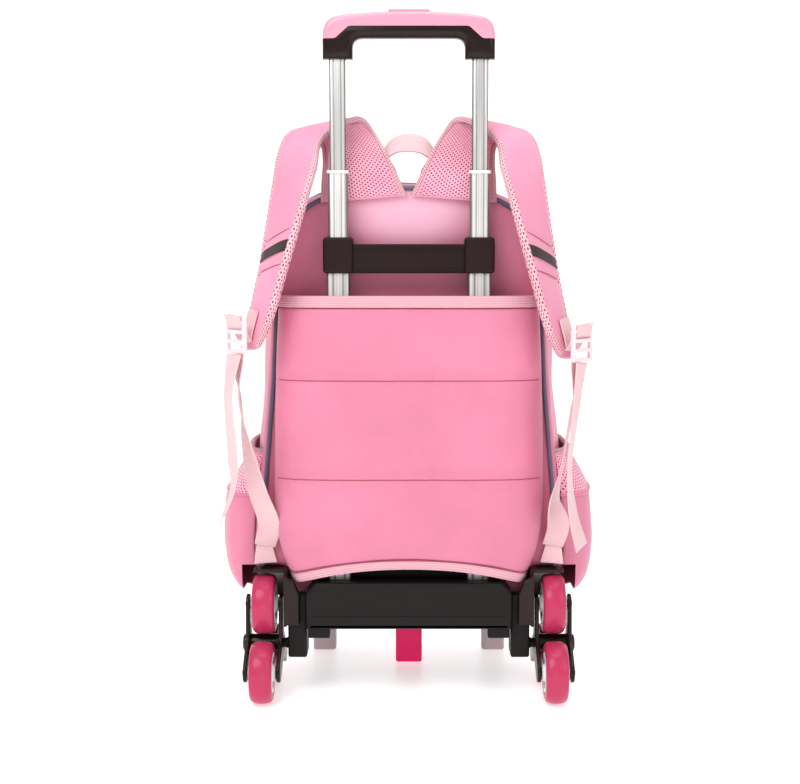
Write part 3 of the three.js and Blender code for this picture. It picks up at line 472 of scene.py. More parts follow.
def puff(piece, pressure, cap, held, steps=20, stiff=15):
    """Lets the padding swell the cloth by simulation, except where held(point) says that it is sewn."""
    rest = [v.co.copy() for v in piece.data.vertices]
    seams = piece.vertex_groups.new(name="seams")
    seams.add([v.index for v in piece.data.vertices if held(v.co)], 1.0, "REPLACE")
    cloth = piece.modifiers.new("Cloth", "CLOTH")
    cloth.settings.quality = 5
    cloth.settings.mass = 0.3
    cloth.settings.tension_stiffness = stiff
    cloth.settings.compression_stiffness = stiff
    cloth.settings.shear_stiffness = stiff / 3
    cloth.settings.bending_stiffness = 0.5
    cloth.settings.use_pressure = True
    cloth.settings.uniform_pressure_force = pressure
    cloth.settings.vertex_group_mass = "seams"
    cloth.settings.effector_weights.gravity = 0
    cloth.collision_settings.use_collision = False
    cloth.point_cache.frame_start = 1
    cloth.point_cache.frame_end = steps
    for number in range(1, steps + 1):
        bpy.context.scene.frame_set(number)
    pick(piece)
    bpy.ops.object.modifier_apply(modifier="Cloth")
    bpy.context.scene.frame_set(1)
    for vertex, start in zip(piece.data.vertices, rest):
        move = vertex.co - start
        if move.length > cap:
            vertex.co = start + move.normalized() * cap
    piece.vertex_groups.clear()


def ripple(point, size, depth, seed=0.0):
    """Soft unevenness of cloth."""
    return noise.noise(point / size + Vector((seed, seed * 1.7, seed * 0.6))) * depth


# Materials

class Socket:
    """An output of a node. Sums written with it add Math nodes to its material."""

    def __init__(self, finish, link):
        self.finish = finish
        self.link = link

    def maths(self, operation, *others):
        values = {i: value for i, value in enumerate([self, *others])}
        return self.finish.node("ShaderNodeMath", {"operation": operation}, values)

    def __add__(self, other):
        return self.maths("ADD", other)

    __radd__ = __add__

    def __mul__(self, other):
        return self.maths("MULTIPLY", other)

    __rmul__ = __mul__

    def __sub__(self, other):
        return self.maths("SUBTRACT", other)

    def __rsub__(self, other):
        return self.finish.node("ShaderNodeMath", {"operation": "SUBTRACT"}, {0: other, 1: self})

    def __pow__(self, other):
        return self.maths("POWER", other)

    def sine(self):
        return self.maths("SINE")

    def part(self):
        """What is left of the value past its whole number."""
        return self.maths("FRACT")

    def size(self):
        return self.maths("ABSOLUTE")

    def step(self, start, end):
        """0 before start and 1 after end, smooth between them."""
        settings = {"interpolation_type": "SMOOTHSTEP"}
        return self.finish.node("ShaderNodeMapRange", settings, {0: self, 1: start, 2: end, 3: 0.0, 4: 1.0})


def opaque(value):
    """A colour with its alpha added, or any other value as it is."""
    return (*value, 1) if isinstance(value, tuple) and len(value) == 3 else value


class Finish:
    """One material: a principled shader and the nodes that feed it."""

    def __init__(self, name, **constants):
        self.material = bpy.data.materials.new(name)
        self.material.use_nodes = True
        self.tree = self.material.node_tree
        self.shader = self.tree.nodes["Principled BSDF"]
        for socket, value in constants.items():
            place = self.shader.inputs[socket.replace("_", " ").title().replace("Ior", "IOR")]
            place.default_value = opaque(value)
        self.places = self.node("ShaderNodeTexCoord", {}, {}, "Object")
        self.cloth = self.node("ShaderNodeTexCoord", {}, {}, "UV")

    def node(self, kind, settings, values, output=0):
        """One node, with its settings and the values or links of its sockets."""
        made = self.tree.nodes.new(kind)
        for key, value in settings.items():
            setattr(made, key, value)
        for key, value in values.items():
            self.feed(made.inputs[key], value)
        return Socket(self, made.outputs[output])

    def feed(self, socket, value):
        if isinstance(value, Socket):
            self.tree.links.new(value.link, socket)
        else:
            socket.default_value = value

    def axes(self, vector):
        made = self.tree.nodes.new("ShaderNodeSeparateXYZ")
        self.feed(made.inputs[0], vector)
        return [Socket(self, output) for output in made.outputs]

    def stretched(self, vector, scale):
        return self.node("ShaderNodeVectorMath", {"operation": "MULTIPLY"}, {0: vector, 1: scale})

    def noise(self, vector, scale, detail=2.0, roughness=0.5):
        values = {"Vector": vector, "Scale": scale, "Detail": detail, "Roughness": roughness}
        return self.node("ShaderNodeTexNoise", {}, values)

    def mix(self, share, first, second):
        made = self.tree.nodes.new("ShaderNodeMix")
        made.data_type = "RGBA"
        for key, value in ((0, share), (6, first), (7, second)):
            self.feed(made.inputs[key], opaque(value))
        return Socket(self, made.outputs[2])

    def bump(self, height, distance, strength=1.0, under=None):
        values = {"Height": height, "Distance": distance, "Strength": strength}
        if under:
            values["Normal"] = under
        return self.node("ShaderNodeBump", {}, values)

    def paint(self, **links):
        for name, value in links.items():
            self.feed(self.shader.inputs[name.replace("_", " ").title()], value)
        return self.material


# On the bag's back alone: a painted highlight over the sleeve, and painted shade further down
PAINTED_HIGHLIGHT_HEIGHT, PAINTED_HIGHLIGHT_HALF_WIDTH, PAINTED_HIGHLIGHT_HALF_HEIGHT = 0.515, 0.070, 0.034
PAINTED_HIGHLIGHT_TONE = (0.92, 0.62, 0.75)
PAINTED_SHADE_LOW, PAINTED_SHADE_HIGH = 0.40, 0.50
PAINTED_SHADE_TONE = (0.50, 0.085, 0.15)
BACK_START, BACK_END = BACK + 0.004, BACK + 0.020
# Colours of single pieces
# The straps' satin is the bag's cloth painted lighter, as painted light on the straps
STRAP_LIT_TONE = (0.76, 0.265, 0.40)
TRIM_TONE = (0.86, 0.50, 0.55)
BINDING_TONE = (0.72, 0.37, 0.43)
THREAD_TONE = (0.50, 0.05, 0.12)


def tinted(base, factor):
    return tuple(min(channel * factor, 1.0) for channel in base)


def satin(name, base, sheen=0.5, painted_light=False):
    """Satin-faced cloth: fine threads, soft creases and a pale sheen, partly painted on the threads, and
    where asked a painted highlight and painted shade.
    """
    finish = Finish(name, roughness=0.43, sheen_weight=sheen * 0.3, sheen_roughness=0.35,
                    sheen_tint=(1.0, 0.75, 0.85), specular_ior_level=0.35)
    places = finish.places
    broad = finish.noise(places, 9.0, 3.0)
    fine = finish.noise(places, 900.0, 1.0)
    x, y, z = finish.axes(places)
    threads = (z * 5200.0).sine() * ((x + y) * 5200.0).sine()
    tone = finish.mix(broad.step(0.3, 0.75), tinted(base, 0.9), tinted(base, 1.1))
    # A pale tone on the threads and in fine noise: partly the weave's own pattern, partly painted sheen
    tone = finish.mix((threads * 0.5 + 0.5) * 0.05 + fine * 0.06, tone, (1.0, 0.74, 0.84))
    # Painted highlight over the sleeve and painted shade lower down, on the back panel alone
    if painted_light:
        across = x * (1 / PAINTED_HIGHLIGHT_HALF_WIDTH)
        upward = (z - PAINTED_HIGHLIGHT_HEIGHT) * (1 / PAINTED_HIGHLIGHT_HALF_HEIGHT)
        bright = 1 - (across * across + upward * upward).step(0.0, 1.6)
        back = 1 - y.step(BACK_START, BACK_END)
        tone = finish.mix((1 - z.step(PAINTED_SHADE_LOW, PAINTED_SHADE_HIGH)) * back * 0.45, tone, PAINTED_SHADE_TONE)
        tone = finish.mix(bright * back * 0.5, tone, PAINTED_HIGHLIGHT_TONE)
    creases = finish.noise(finish.stretched(places, (1.0, 1.0, 0.75)), 38.0, 3.0, 0.55)
    wide = finish.bump(creases, 0.0035, 0.32)
    close = finish.bump(threads * 0.35 + fine, 0.00022, 0.35, wide)
    return finish.paint(base_color=tone, roughness=0.40 + broad * 0.10, normal=close)


def air_mesh(name, base, hole, pitch, lit=1.0):
    """Knitted mesh: staggered rows of small dark holes, on the piece's own UV map in metres."""
    finish = Finish(name, roughness=0.7, sheen_weight=0.25, sheen_roughness=0.4)
    across, along, _ = finish.axes(finish.cloth)
    a = (across + along) * (0.7071 / pitch)
    b = (across - along) * (0.7071 / pitch)
    rows = [(((a + shift).part() - 0.5), ((b + shift).part() - 0.5)) for shift in (100.0, 100.5)]
    near = [(p * p + q * q) ** 0.5 for p, q in rows]
    holes = 1 - near[0].step(0.19, 0.34)
    dents = 1 - near[1].step(0.05, 0.30)
    blotch = finish.noise(finish.places, 30.0, 2.0)
    tone = finish.mix(blotch.step(0.3, 0.8), tinted(base, 0.86 * lit), tinted(base, 1.12 * lit))
    # The holes' dark tone stands both for the layer beneath and for painted shade in them, and the dents
    # between them get painted shade
    tone = finish.mix(holes, tone, hole)
    tone = finish.mix(dents * 0.35, tone, hole)
    relief = finish.bump((1 - holes) + (1 - dents) * 0.4, 0.0009, 0.8)
    return finish.paint(base_color=tone, normal=relief)


def woven(name, base, pitch, contrast=0.2, roughness=0.62):
    """Webbing and binding tape: ribs across the tape and a fine weave."""
    finish = Finish(name, roughness=roughness, sheen_weight=0.3, sheen_roughness=0.4)
    across, along, _ = finish.axes(finish.cloth)
    ribs = (along * (2 * pi / pitch)).sine()
    weft = (across * (2 * pi / (pitch * 0.8)) + ribs * 0.8).sine()
    cloud = finish.noise(finish.places, 60.0, 2.0)
    tone = finish.mix((ribs * 0.5 + 0.5) * (1 - contrast) + cloud * contrast, tinted(base, 0.80), base)
    relief = finish.bump(ribs * 0.6 + weft * 0.4, 0.0003, 0.7)
    return finish.paint(base_color=tone, normal=relief)


def moulded(name, base, roughness, grain=0.0, coat=0.0, cloudy=0.05):
    """Moulded plastic: slight unevenness of tone and gloss, with a fine grain where it is matt."""
    finish = Finish(name, roughness=roughness, coat_weight=coat, coat_roughness=0.12, specular_ior_level=0.17)
    broad = finish.noise(finish.places, 14.0, 3.0)
    scuff = finish.noise(finish.stretched(finish.places, (1.0, 1.0, 4.0)), 120.0, 4.0, 0.7)
    patches = broad.step(0.25, 0.8) * 0.5 + scuff * 0.2
    tone = finish.mix(patches, tinted(base, 1 - cloudy), tinted(base, 1 + cloudy))
    speck = finish.noise(finish.places, 1700.0, 1.0)
    relief = finish.bump(speck + scuff * 0.3, 0.00006 + 0.0003 * grain, 0.35 + 0.4 * grain)
    return finish.paint(base_color=tone, roughness=roughness - 0.05 + scuff * 0.1, normal=relief)


def anodised(name, base, half):
    """Drawn aluminium: fine streaks along the tube, with painted shade at its edges and in its flutes."""
    finish = Finish(name, metallic=0.85, roughness=0.34)
    x, _, _ = finish.axes(finish.places)
    side = (x.size() - TUBE.x).size() * (1 / half)
    flutes = 1 - (side - 0.42).size().step(0.04, 0.13)
    lines = 1 - (side - 0.16).size().step(0.02, 0.06)
    # Painted shade: dark bands at the rounded edges, along the flutes and along thin lines near the middle
    bands = side.step(0.74, 0.93) * 0.80 + flutes * 0.50 + lines * 0.25
    streaks = finish.noise(finish.stretched(finish.places, (1.0, 1.0, 0.01)), 900.0, 3.0, 0.6)
    cloud = finish.noise(finish.places, 20.0, 2.0)
    tone = finish.mix(streaks * 0.7 + cloud * 0.3, tinted(base, 0.9), tinted(base, 1.3))
    tone = finish.mix(bands, tone, tinted(base, 0.16))
    relief = finish.bump(streaks, 0.00012, 0.5)
    return finish.paint(base_color=tone, roughness=0.26 + streaks * 0.2, normal=relief)


def ribbed_cord(name, base, pitch=0.0022):
    """Covered cord or zip coil, ribbed along its length by its place."""
    finish = Finish(name, roughness=0.46, sheen_weight=0.2)
    x, y, z = finish.axes(finish.places)
    ribs = ((z + x * 0.9 + y * 0.4) * (2 * pi / pitch)).sine()
    cloud = finish.noise(finish.places, 40.0, 2.0)
    tone = finish.mix(ribs * 0.25 + cloud * 0.6, tinted(base, 0.7), tinted(base, 1.5))
    return finish.paint(base_color=tone, normal=finish.bump(ribs, 0.0002, 0.6))


FINISHES = {}


def make_finishes():
    """Every material of the backpack, by a plain name."""
    tone, size = colours(), sizes()
    FINISHES.update(
        cloth=satin("pink_satin", tuple(tone.cloth)),
        strap=satin("strap_satin", STRAP_LIT_TONE, 0.6),
        panel=satin("panel_satin", tuple(tone.cloth), 0.6, painted_light=True),
        mesh=air_mesh("air_mesh", tuple(tone.mesh), tuple(tone.mesh_hole), size.mesh_pitch),
        trim=air_mesh("mesh_trim", TRIM_TONE, tuple(tone.mesh_hole), size.mesh_pitch * 0.8),
        webbing=woven("webbing", tuple(tone.webbing), size.rib_pitch),
        under=woven("webbing_painted_shade", tuple(tone.webbing_underside_shade), size.rib_pitch),
        binding=woven("binding_tape", BINDING_TONE, size.rib_pitch * 1.6, 0.1),
        seam=woven("seam_thread", THREAD_TONE, 0.0024, 0.3),
        piping=ribbed_cord("piping_cloth", tuple(tone.piping)),
        reflective=moulded("reflective_tape", tuple(tone.reflective), 0.42, 0.5),
        lock=moulded("pale_plastic", tuple(tone.pale_plastic), 0.34, 0.1),
        grip=moulded("glossy_pink_plastic", tuple(tone.grip), 0.22, 0.0, 0.5),
        dark=moulded("glossy_dark_plastic", tuple(tone.dark_plastic), 0.26, 0.0, 0.1),
        black=moulded("matt_black_plastic", tuple(tone.black_plastic), 0.46, 0.7),
        bracket=moulded("brown_black_plastic", tuple(tone.dark_plastic), 0.42, 0.3),
        tyre=moulded("raspberry_tyre", tuple(tone.tyre), 0.30, 0.0, 0.15),
        hub=moulded("white_hub", tuple(tone.hub), 0.28),
        hot_pink=moulded("hot_pink_plastic", tuple(tone.hot_pink), 0.38, 0.1),
        foot=moulded("mauve_plastic", tuple(tone.foot), 0.42, 0.4),
        outer_tube=anodised("outer_aluminium", tuple(tone.aluminium), 0.0120),
        middle_tube=anodised("middle_aluminium", tinted(tuple(tone.aluminium), 1.25), 0.0089),
        inner_tube=anodised("inner_aluminium", tuple(tone.aluminium), 0.0082),
    )


# Bag

BAG_HALF_WIDTH = 0.158
BAG_DEPTH = high("bag_shell").y - BACK
BAG_MIDDLE = (BAG_LOW + BAG_HIGH) / 2
SWELL, CROWN = 0.015, 0.006
SHOULDER_UP = 0.75
# The space that the wheels turn in: its radius, and how far from the middle it starts
WELL, WELL_IN = 0.0836, 0.1285

# Half-width of the back outline by height, as shares.
SIDE_ROWS = [
    {"up": 0.0, "half": 0.94},
    {"up": 0.035, "half": 0.985},
    {"up": 0.15, "half": 1.0},
    {"up": 0.26, "half": 0.978},
    {"up": 0.43, "half": 0.935},
    {"up": 0.55, "half": 0.905},
    {"up": SHOULDER_UP, "half": 0.877},
]
# Sections from back to front: shares of the depth, swell and crown, and the outline's scale.
DEPTH_ROWS = [
    {"deep": 0.0, "swell": 0.0, "crown": 0.0, "scale": 1},
    {"deep": 0.05, "swell": 0.5, "crown": 0.5, "scale": 1},
    {"deep": 0.2, "swell": 0.9, "crown": 0.9, "scale": 1},
    {"deep": 0.5, "swell": 1.0, "crown": 1.0, "scale": 1},
    {"deep": 0.8, "swell": 0.85, "crown": 0.6, "scale": 1},
    {"deep": 0.93, "swell": 0.4, "crown": -0.3, "scale": 1},
    {"deep": 0.985, "swell": -0.5, "crown": -1.6, "scale": 1},
    {"deep": 1.0, "swell": -0.5, "crown": -1.6, "scale": 0.92},
]


def side_half(z):
    """Half-width of the back outline at a height below its round top."""
    return between(SIDE_ROWS, "up", (z - BAG_LOW) / (BAG_HIGH - BAG_LOW), "half") * BAG_HALF_WIDTH


def upper_line(start, count):
    """The back outline from a height on the right, over the round top, to the same height on the left."""
    rise = BAG_HIGH - BAG_LOW
    shoulder = BAG_LOW + SHOULDER_UP * rise
    heights = [start + (shoulder - start) * i / 30 for i in range(30)]
    turns = [pi * i / 60 for i in range(61)]
    half = side_half(shoulder)
    top = [(half * powered(cos(t), 2 / 3), shoulder + (BAG_HIGH - shoulder) * sin(t) ** (2 / 3))
           for t in turns]
    right = [(side_half(z), z) for z in heights]
    left = [(-x, z) for x, z in reversed(right)]
    return even([(x, 0, z) for x, z in right + top + left], count)


def bag_point(x, z, deep):
    """A point of the back outline carried to a share of the bag's depth."""
    swell, crown, scale = (between(DEPTH_ROWS, "deep", deep, key) for key in ("swell", "crown", "scale"))
    lift = crown * CROWN / ((BAG_HIGH - BAG_LOW) / 2) if z > BAG_MIDDLE else 0
    wide = (1 + swell * SWELL / BAG_HALF_WIDTH) * scale
    return at(x * wide, deep * BAG_DEPTH, BAG_MIDDLE + (z - BAG_MIDDLE) * (1 + lift) * scale)


def well_tool(sign, wide):
    """A cylinder over the space that the wheels turn in."""
    deselect()
    bpy.ops.mesh.primitive_cylinder_add(
        vertices=64, radius=WELL, depth=wide, rotation=(0, pi / 2, 0),
        location=(sign * (WELL_IN + wide / 2), AXLE.y, AXLE.z))
    return called("wheel_well")


def well_distance(point):
    """How far a point lies from the hollow that the wheels turn in."""
    out = hypot(point.y - AXLE.y, point.z - AXLE.z) - WELL
    return max(out, WELL_IN - abs(point.x))


class BACKPACK_OT_bag(bpy.types.Operator):
    """Padded bag with its wheel wells, closed all round"""
    bl_idname = "backpack.bag"
    bl_label = "Bag"

    def execute(self, context):
        size = sizes()
        around, along = 200, 40
        bottom = [Vector((x / 20 * side_half(BAG_LOW), 0, BAG_LOW)) for x in range(-19, 20)]
        outline = even(upper_line(BAG_LOW, 150) + bottom, around, closed=True)

        def place(u, v):
            here = outline[round(u * around) % around]
            return bag_point(here.x, here.z, smoothstep(v, -0.15, 1.12) if 0 < v < 1 else v)

        bag = shaped_grid("bag_body", around, along, place)
        weld(bag)
        close_ends(bag)
        for sign in SIDES.values():
            cut_away(bag, well_tool(sign, 0.08))
        modify(bag, "REMESH", mode="VOXEL", voxel_size=size.cloth_step * 0.9, use_smooth_shade=True)
        modify(bag, "SMOOTH", factor=0.5, iterations=5)
        front = BACK + 0.94 * BAG_DEPTH
        zip_depth = middle("main_zip").y

        def sewn(point):
            return (point.y < BACK + 0.007 or well_distance(point) < 0.012 or point.z < BAG_LOW + 0.006
                    or abs(point.y - zip_depth) < 0.006 and point.z > low("main_zip").z
                    or abs(point.y - front) < 0.004)

        puff(bag, 3.0, size.swelling * 0.7, sewn)
        refine(bag)
        for vertex in bag.data.vertices:
            loose = smoothstep(vertex.co.y, BACK + 0.010, BACK + 0.04)
            vertex.co.x += ripple(vertex.co, 0.055, 0.0022, 3) * loose
            vertex.co.z += ripple(vertex.co, 0.07, 0.0015, 5) * loose * smoothstep(vertex.co.z, 0.14, 0.25)
            vertex.co.y = max(vertex.co.y, BACK + 0.0002)
        set_up(bag, "bag", "pink_fabric", FINISHES["panel"], ["bag_shell"], angle=60)
        return {"FINISHED"}


class BACKPACK_OT_piping(bpy.types.Operator):
    """Piping round the back panel and the zip over the bag"""
    bl_idname = "backpack.piping"
    bl_label = "Piping and zip"

    def execute(self, context):
        start = low("back_piping").z
        line = [at(p.x, 0.0003, p.z) for p in upper_line(start, 260)]
        piping = cord_along("piping", line, sizes().piping_radius)
        set_up(piping, "bag", "navy_trim", FINISHES["piping"], ["back_piping"], angle=60)

        deep = (middle("main_zip").y - BACK) / BAG_DEPTH
        ends = low("main_zip").z
        last = 699
        track = even([bag_point(p.x, p.z, deep) for p in upper_line(ends, 300)], last + 1)
        bag = bpy.data.objects["bag_body"]
        track = [bag.closest_point_on_mesh(p)[1] for p in track]
        outward = [Vector((0, 1, 0)).cross(track[min(i + 1, last)] - track[max(i - 1, 0)]).normalized()
                   for i in range(last + 1)]

        def tape(u, v):
            i = round(v * last)
            return track[i] + outward[i] * 0.0008 + Vector((0, (u - 0.5) * 0.0085, 0))

        band = shaped_grid("zip_tape", 2, last, tape)
        wall(band, 0.0012)
        coil = cord_along("zip_coil", [p + n * 0.0012 for p, n in zip(track, outward)], 0.0016,
                          ribs=lambda i: 1.0 if i % 2 else 0.72, sides=2)
        zipped = joined([band, coil], "zip")
        set_up(zipped, "bag", "navy_trim", FINISHES["piping"], ["main_zip"], angle=60)
        return {"FINISHED"}


# Side pockets

POCKET_HEIGHT, POCKET_BULGE, POCKET_LENGTH = 0.162, 0.032, 0.134
POCKET_MESH = 0.050
POCKET_LOW = BAG_LOW + 0.008
POCKET_MIDDLE = 0.014 + POCKET_LENGTH / 2
POCKET_SEAM = POCKET_LOW + POCKET_HEIGHT - POCKET_MESH
# How far the pocket reaches into the bag's side, and where its lower cloth has cleared the wheels
POCKET_REACH = 0.012
POCKET_CLEAR = 0.1815
# Height and bulge, as shares.
POCKET_ROWS = [
    {"up": 0.004, "bulge": -0.25},
    {"up": 0.0, "bulge": 0.3},
    {"up": 0.06, "bulge": 0.75},
    {"up": 0.2, "bulge": 1.0},
    {"up": 0.55, "bulge": 1.06},
    {"up": 0.7, "bulge": 1.0},
    {"up": 0.86, "bulge": 0.62},
    {"up": 1.0, "bulge": 0.26},
]


def pocket_point(sign, turn, share):
    """A point of the pocket's outside: turn from 0 at the near end to 1, share along its height."""
    up = eased([row["up"] for row in POCKET_ROWS], share)
    bulge = eased([row["bulge"] for row in POCKET_ROWS], share)
    z = POCKET_LOW + up * POCKET_HEIGHT
    side = side_half(z) + SWELL - POCKET_REACH
    reach = bulge * POCKET_BULGE + POCKET_REACH
    gathers = sin(turn * pi * 22) * 0.0010 * (smoothstep(share, 0.8, 1.0) + smoothstep(share, 0.30, 0.1))
    swing = max(sin(turn * pi), 0) ** 0.55
    sag = ripple(Vector((turn * 3, share * 3, sign)), 0.7, 0.0020)
    return at(sign * (side + (reach + sag) * swing + gathers * swing),
              POCKET_MIDDLE - POCKET_LENGTH / 2 * cos(turn * pi), z)


class BACKPACK_OT_pockets(bpy.types.Operator):
    """Side pockets of cloth, with a top of mesh and an elastic edge"""
    bl_idname = "backpack.pockets"
    bl_label = "Side pockets"

    def execute(self, context):
        seam = (POCKET_SEAM - POCKET_LOW) / POCKET_HEIGHT
        # The share along the rows where the seam lies
        split = min((abs(eased([row["up"] for row in POCKET_ROWS], s / 400) - seam), s / 400)
                    for s in range(200, 400))[1]
        width = POCKET_LENGTH * 1.45
        for name, sign in SIDES.items():
            lower = shaped_grid(
                f"pocket_{name}", 64, 40,
                lambda u, v: pocket_point(sign, 0.01 + 0.98 * u, v * (split - 0.004)),
                (width, POCKET_HEIGHT - POCKET_MESH))
            wall(lower, 0.0018, 1 if sign < 0 else -1)
            weld(lower, 2e-5)
            refine(lower)
            cut_away(lower, well_tool(sign, POCKET_CLEAR - WELL_IN))
            set_up(lower, "bag", "pink_fabric", FINISHES["cloth"], [f"side_pocket_{name}"], angle=60)
            upper = shaped_grid(
                f"pocket_mesh_{name}", 64, 18,
                lambda u, v: pocket_point(sign, 0.01 + 0.98 * u, split + 0.004 + v * (0.985 - split)),
                (width, POCKET_MESH))
            wall(upper, 0.0012, 1 if sign < 0 else -1)
            weld(upper, 2e-5)
            refine(upper)
            set_up(upper, "bag", "mesh_fabric", FINISHES["mesh"], [f"side_pocket_mesh_{name}"], angle=60)
            for part, share, radius, slot, finish in (
                ("edge", 0.992, 0.0026, "pale_webbing", "binding"),
                ("seam", split, 0.0019, "pink_fabric", "cloth"),
            ):
                line = [pocket_point(sign, 0.01 + 0.98 * i / 80, share) for i in range(81)]
                cord = cord_along(f"pocket_{part}_{name}", line, radius)
                set_up(cord, "bag", slot, FINISHES[finish], angle=60)
        return {"FINISHED"}


# Back sleeve

SLEEVE_HALF = high("sleeve_top_binding").x
SLEEVE_DEPTH = BACK - low("sleeve_top_binding").y
SLEEVE_TOP = high("sleeve_top_binding").z
SLEEVE_LOW = SLEEVE_TOP - 0.312
BINDING = SLEEVE_TOP - low("sleeve_top_binding").z
PADDING = 0.009
HEM_MIDDLE = SLEEVE_LOW + 0.025
HEM_ARCH = 0.019
HEM_WIDTH = 0.009
QUILT_SEAMS = (0.341, 0.237)
# Half-width by height, as shares.
SLEEVE_HALVES = [0.87, 0.98, 1.035, 1.05, 1.05, 1.045, 1.04, 1.033, 1.025, 1.013, 1.0]


# The section's steps, and how many times its half-width is its depth where the steps are evened out
SECTION_STEPS, SECTION_SPREAD = 240, 3.4


def sleeve_section():
    """The sleeve's section from one sewn edge to the other, as even shares of its half-width and depth."""
    turns = [pi * i / SECTION_STEPS for i in range(SECTION_STEPS + 1)]
    line = [Vector((-powered(cos(t), 0.36) * SECTION_SPREAD, sin(t) ** 0.72, 0)) for t in turns]
    return [(p.x / SECTION_SPREAD, p.y) for p in even(line, SECTION_STEPS + 1)]


SECTION = sleeve_section()


def sleeve_half(z):
    return SLEEVE_HALF * eased(SLEEVE_HALVES, (z - SLEEVE_LOW) / (SLEEVE_TOP - SLEEVE_LOW))


def sleeve_point(u, z, rise=0.0):
    """A point of the sleeve's outside, u from 0 to 1 across, raised off it by so much."""
    place = min(max(u, 0), 1) * SECTION_STEPS
    i = min(int(place), SECTION_STEPS - 1)
    (a, b), (c, d) = SECTION[i], SECTION[i + 1]
    share = place - i
    across, out = a + (c - a) * share, b + (d - b) * share
    half = sleeve_half(z)
    depth = SLEEVE_DEPTH - 0.001
    sideways = across ** 5 / half if abs(across) > 0.6 else 0
    normal = Vector((sideways, -(out ** 3 + 0.05) / depth, 0)).normalized()
    return at(across * half, -0.0004 - out * depth, z) + normal * rise


def hem_line(u):
    """The height of the sleeve's lower edge."""
    x = abs(sleeve_point(u, SLEEVE_LOW).x) / (SLEEVE_HALF * SLEEVE_HALVES[0])
    return HEM_MIDDLE - HEM_ARCH * min(x, 1) ** 2.2


def stitches(name, line, radius):
    """A sewn thread, thin at every third point, where it dips into the cloth."""
    thread = cord_along(name, line, radius, ribs=lambda k: 1.0 if k % 3 else 0.25, sides=1)
    set_up(thread, "bag", "pink_fabric", FINISHES["seam"], angle=60)


class BACKPACK_OT_sleeve(bpy.types.Operator):
    """Quilted sleeve over the tubes, with its bindings"""
    bl_idname = "backpack.sleeve"
    bl_label = "Back sleeve"

    def execute(self, context):
        size = sizes()
        top = SLEEVE_TOP - BINDING - 0.0003
        across, along = 84, 66

        def dent(point):
            near = min(abs(point.z - seam) for seam in QUILT_SEAMS)
            groove = size.seam_depth * exp(-(near / size.seam_width) ** 2)
            seam = min(QUILT_SEAMS, key=lambda z: abs(point.z - z))
            gather = noise.noise(Vector((point.x / 0.009, point.z / 0.03, seam * 50))) * size.pucker
            return groove + gather * exp(-near / 0.016)

        def place(u, v):
            bottom = hem_line(u) + HEM_WIDTH
            point = sleeve_point(u, bottom + (top - bottom) * v)
            full = smoothstep(u, 0.0, 0.14) * smoothstep(1 - u, 0.0, 0.14)
            point.y += dent(point) * full * 0.45
            return point

        pad = shaped_grid("sleeve_pad", across, along, place)
        wall(pad, PADDING, -1)
        weld(pad, 2e-5)

        def sewn(point):
            near = min(abs(point.z - seam) for seam in QUILT_SEAMS)
            inside = abs(point.x) < sleeve_half(point.z) - 0.012 and point.y > BACK - SLEEVE_DEPTH + 0.0075
            edge = point.y > BACK - 0.006
            ends = point.z > top - 0.004 or point.z < HEM_MIDDLE + HEM_WIDTH - 0.015
            return near < 0.0028 or edge or ends or inside

        puff(pad, 5.0, size.swelling, sewn)
        refine(pad)
        for vertex in pad.data.vertices:
            point = vertex.co
            front = smoothstep(BACK - point.y, 0.015, 0.03)
            point.y += ripple(Vector((point.x, point.z * 1.5, 0)), 0.045, 0.0010, 2) * front
            point.y += dent(point) * 0.25 * front
        set_up(pad, "bag", "pink_fabric", FINISHES["cloth"], ["back_sleeve"], angle=60)
        self.stitch(pad)
        self.bind(top)
        return {"FINISHED"}

    def stitch(self, pad):
        """The sewn line along the bottom of each quilting groove."""
        for i, seam in enumerate(QUILT_SEAMS):
            line = []
            for k in range(400):
                place = sleeve_point(0.07 + 0.86 * k / 399, seam)
                hit, spot, _, _ = pad.ray_cast(Vector((place.x, BACK - 0.1, seam)), Vector((0, 1, 0)))
                line.append(spot + Vector((0, -0.0002, 0)) if hit else place)
            stitches(f"quilt_stitch_{i}", line, 0.00055)

    def bind(self, top):
        """The tape round the top edge and the arched tape along the bottom."""
        def round_top(u, v):
            fold = sin(pi * min(v, 0.999)) ** 0.4
            return sleeve_point(u, top + v * BINDING * 0.985, 0.0006 + 0.0007 * fold)

        tape = shaped_grid("sleeve_top_tape", 110, 8, round_top, (0.34, BINDING))
        wall(tape, PADDING + 0.0008)
        weld(tape, 2e-5)
        soften(tape, 0.0016, 3, 50)
        set_up(tape, "bag", "pale_webbing", FINISHES["binding"], ["sleeve_top_binding"], angle=50)

        def hem(u, v):
            z = hem_line(u) + v * (HEM_WIDTH + 0.0006)
            return sleeve_point(u, z, 0.0011 * sin(pi * v) ** 0.5 if 0 < v < 1 else 0)

        lower = shaped_grid("sleeve_hem_tape", 130, 6, hem, (0.34, HEM_WIDTH))
        wall(lower, PADDING - 0.0006)
        weld(lower, 2e-5)
        soften(lower, 0.0012, 2, 50)
        set_up(lower, "bag", "pale_webbing", FINISHES["binding"], ["sleeve_hem_binding"], angle=50)
        shares = [0.05 + 0.9 * k / 200 for k in range(201)]
        line = [sleeve_point(u, hem_line(u) + HEM_WIDTH + 0.0008, 0.0003) for u in shares]
        seam = cord_along("sleeve_hem_seam", line, 0.0008, sides=2)
        set_up(seam, "bag", "pink_fabric", FINISHES["seam"], angle=60)


# Shoulder straps

STRAP_TIP = 0.370
STRAP_HEIGHT = 0.242
STRAP_SPREAD = 0.172
STRAP_REACH = 0.060
STRAP_THICKNESS = 0.011
STRAP_DROP = {"left": 0.0, "right": 0.009}
BAND_PLACE, BAND_WIDTH = 0.79, 0.011
STRAP_SEAMS = (BAND_PLACE - 0.027, BAND_PLACE + 0.027)
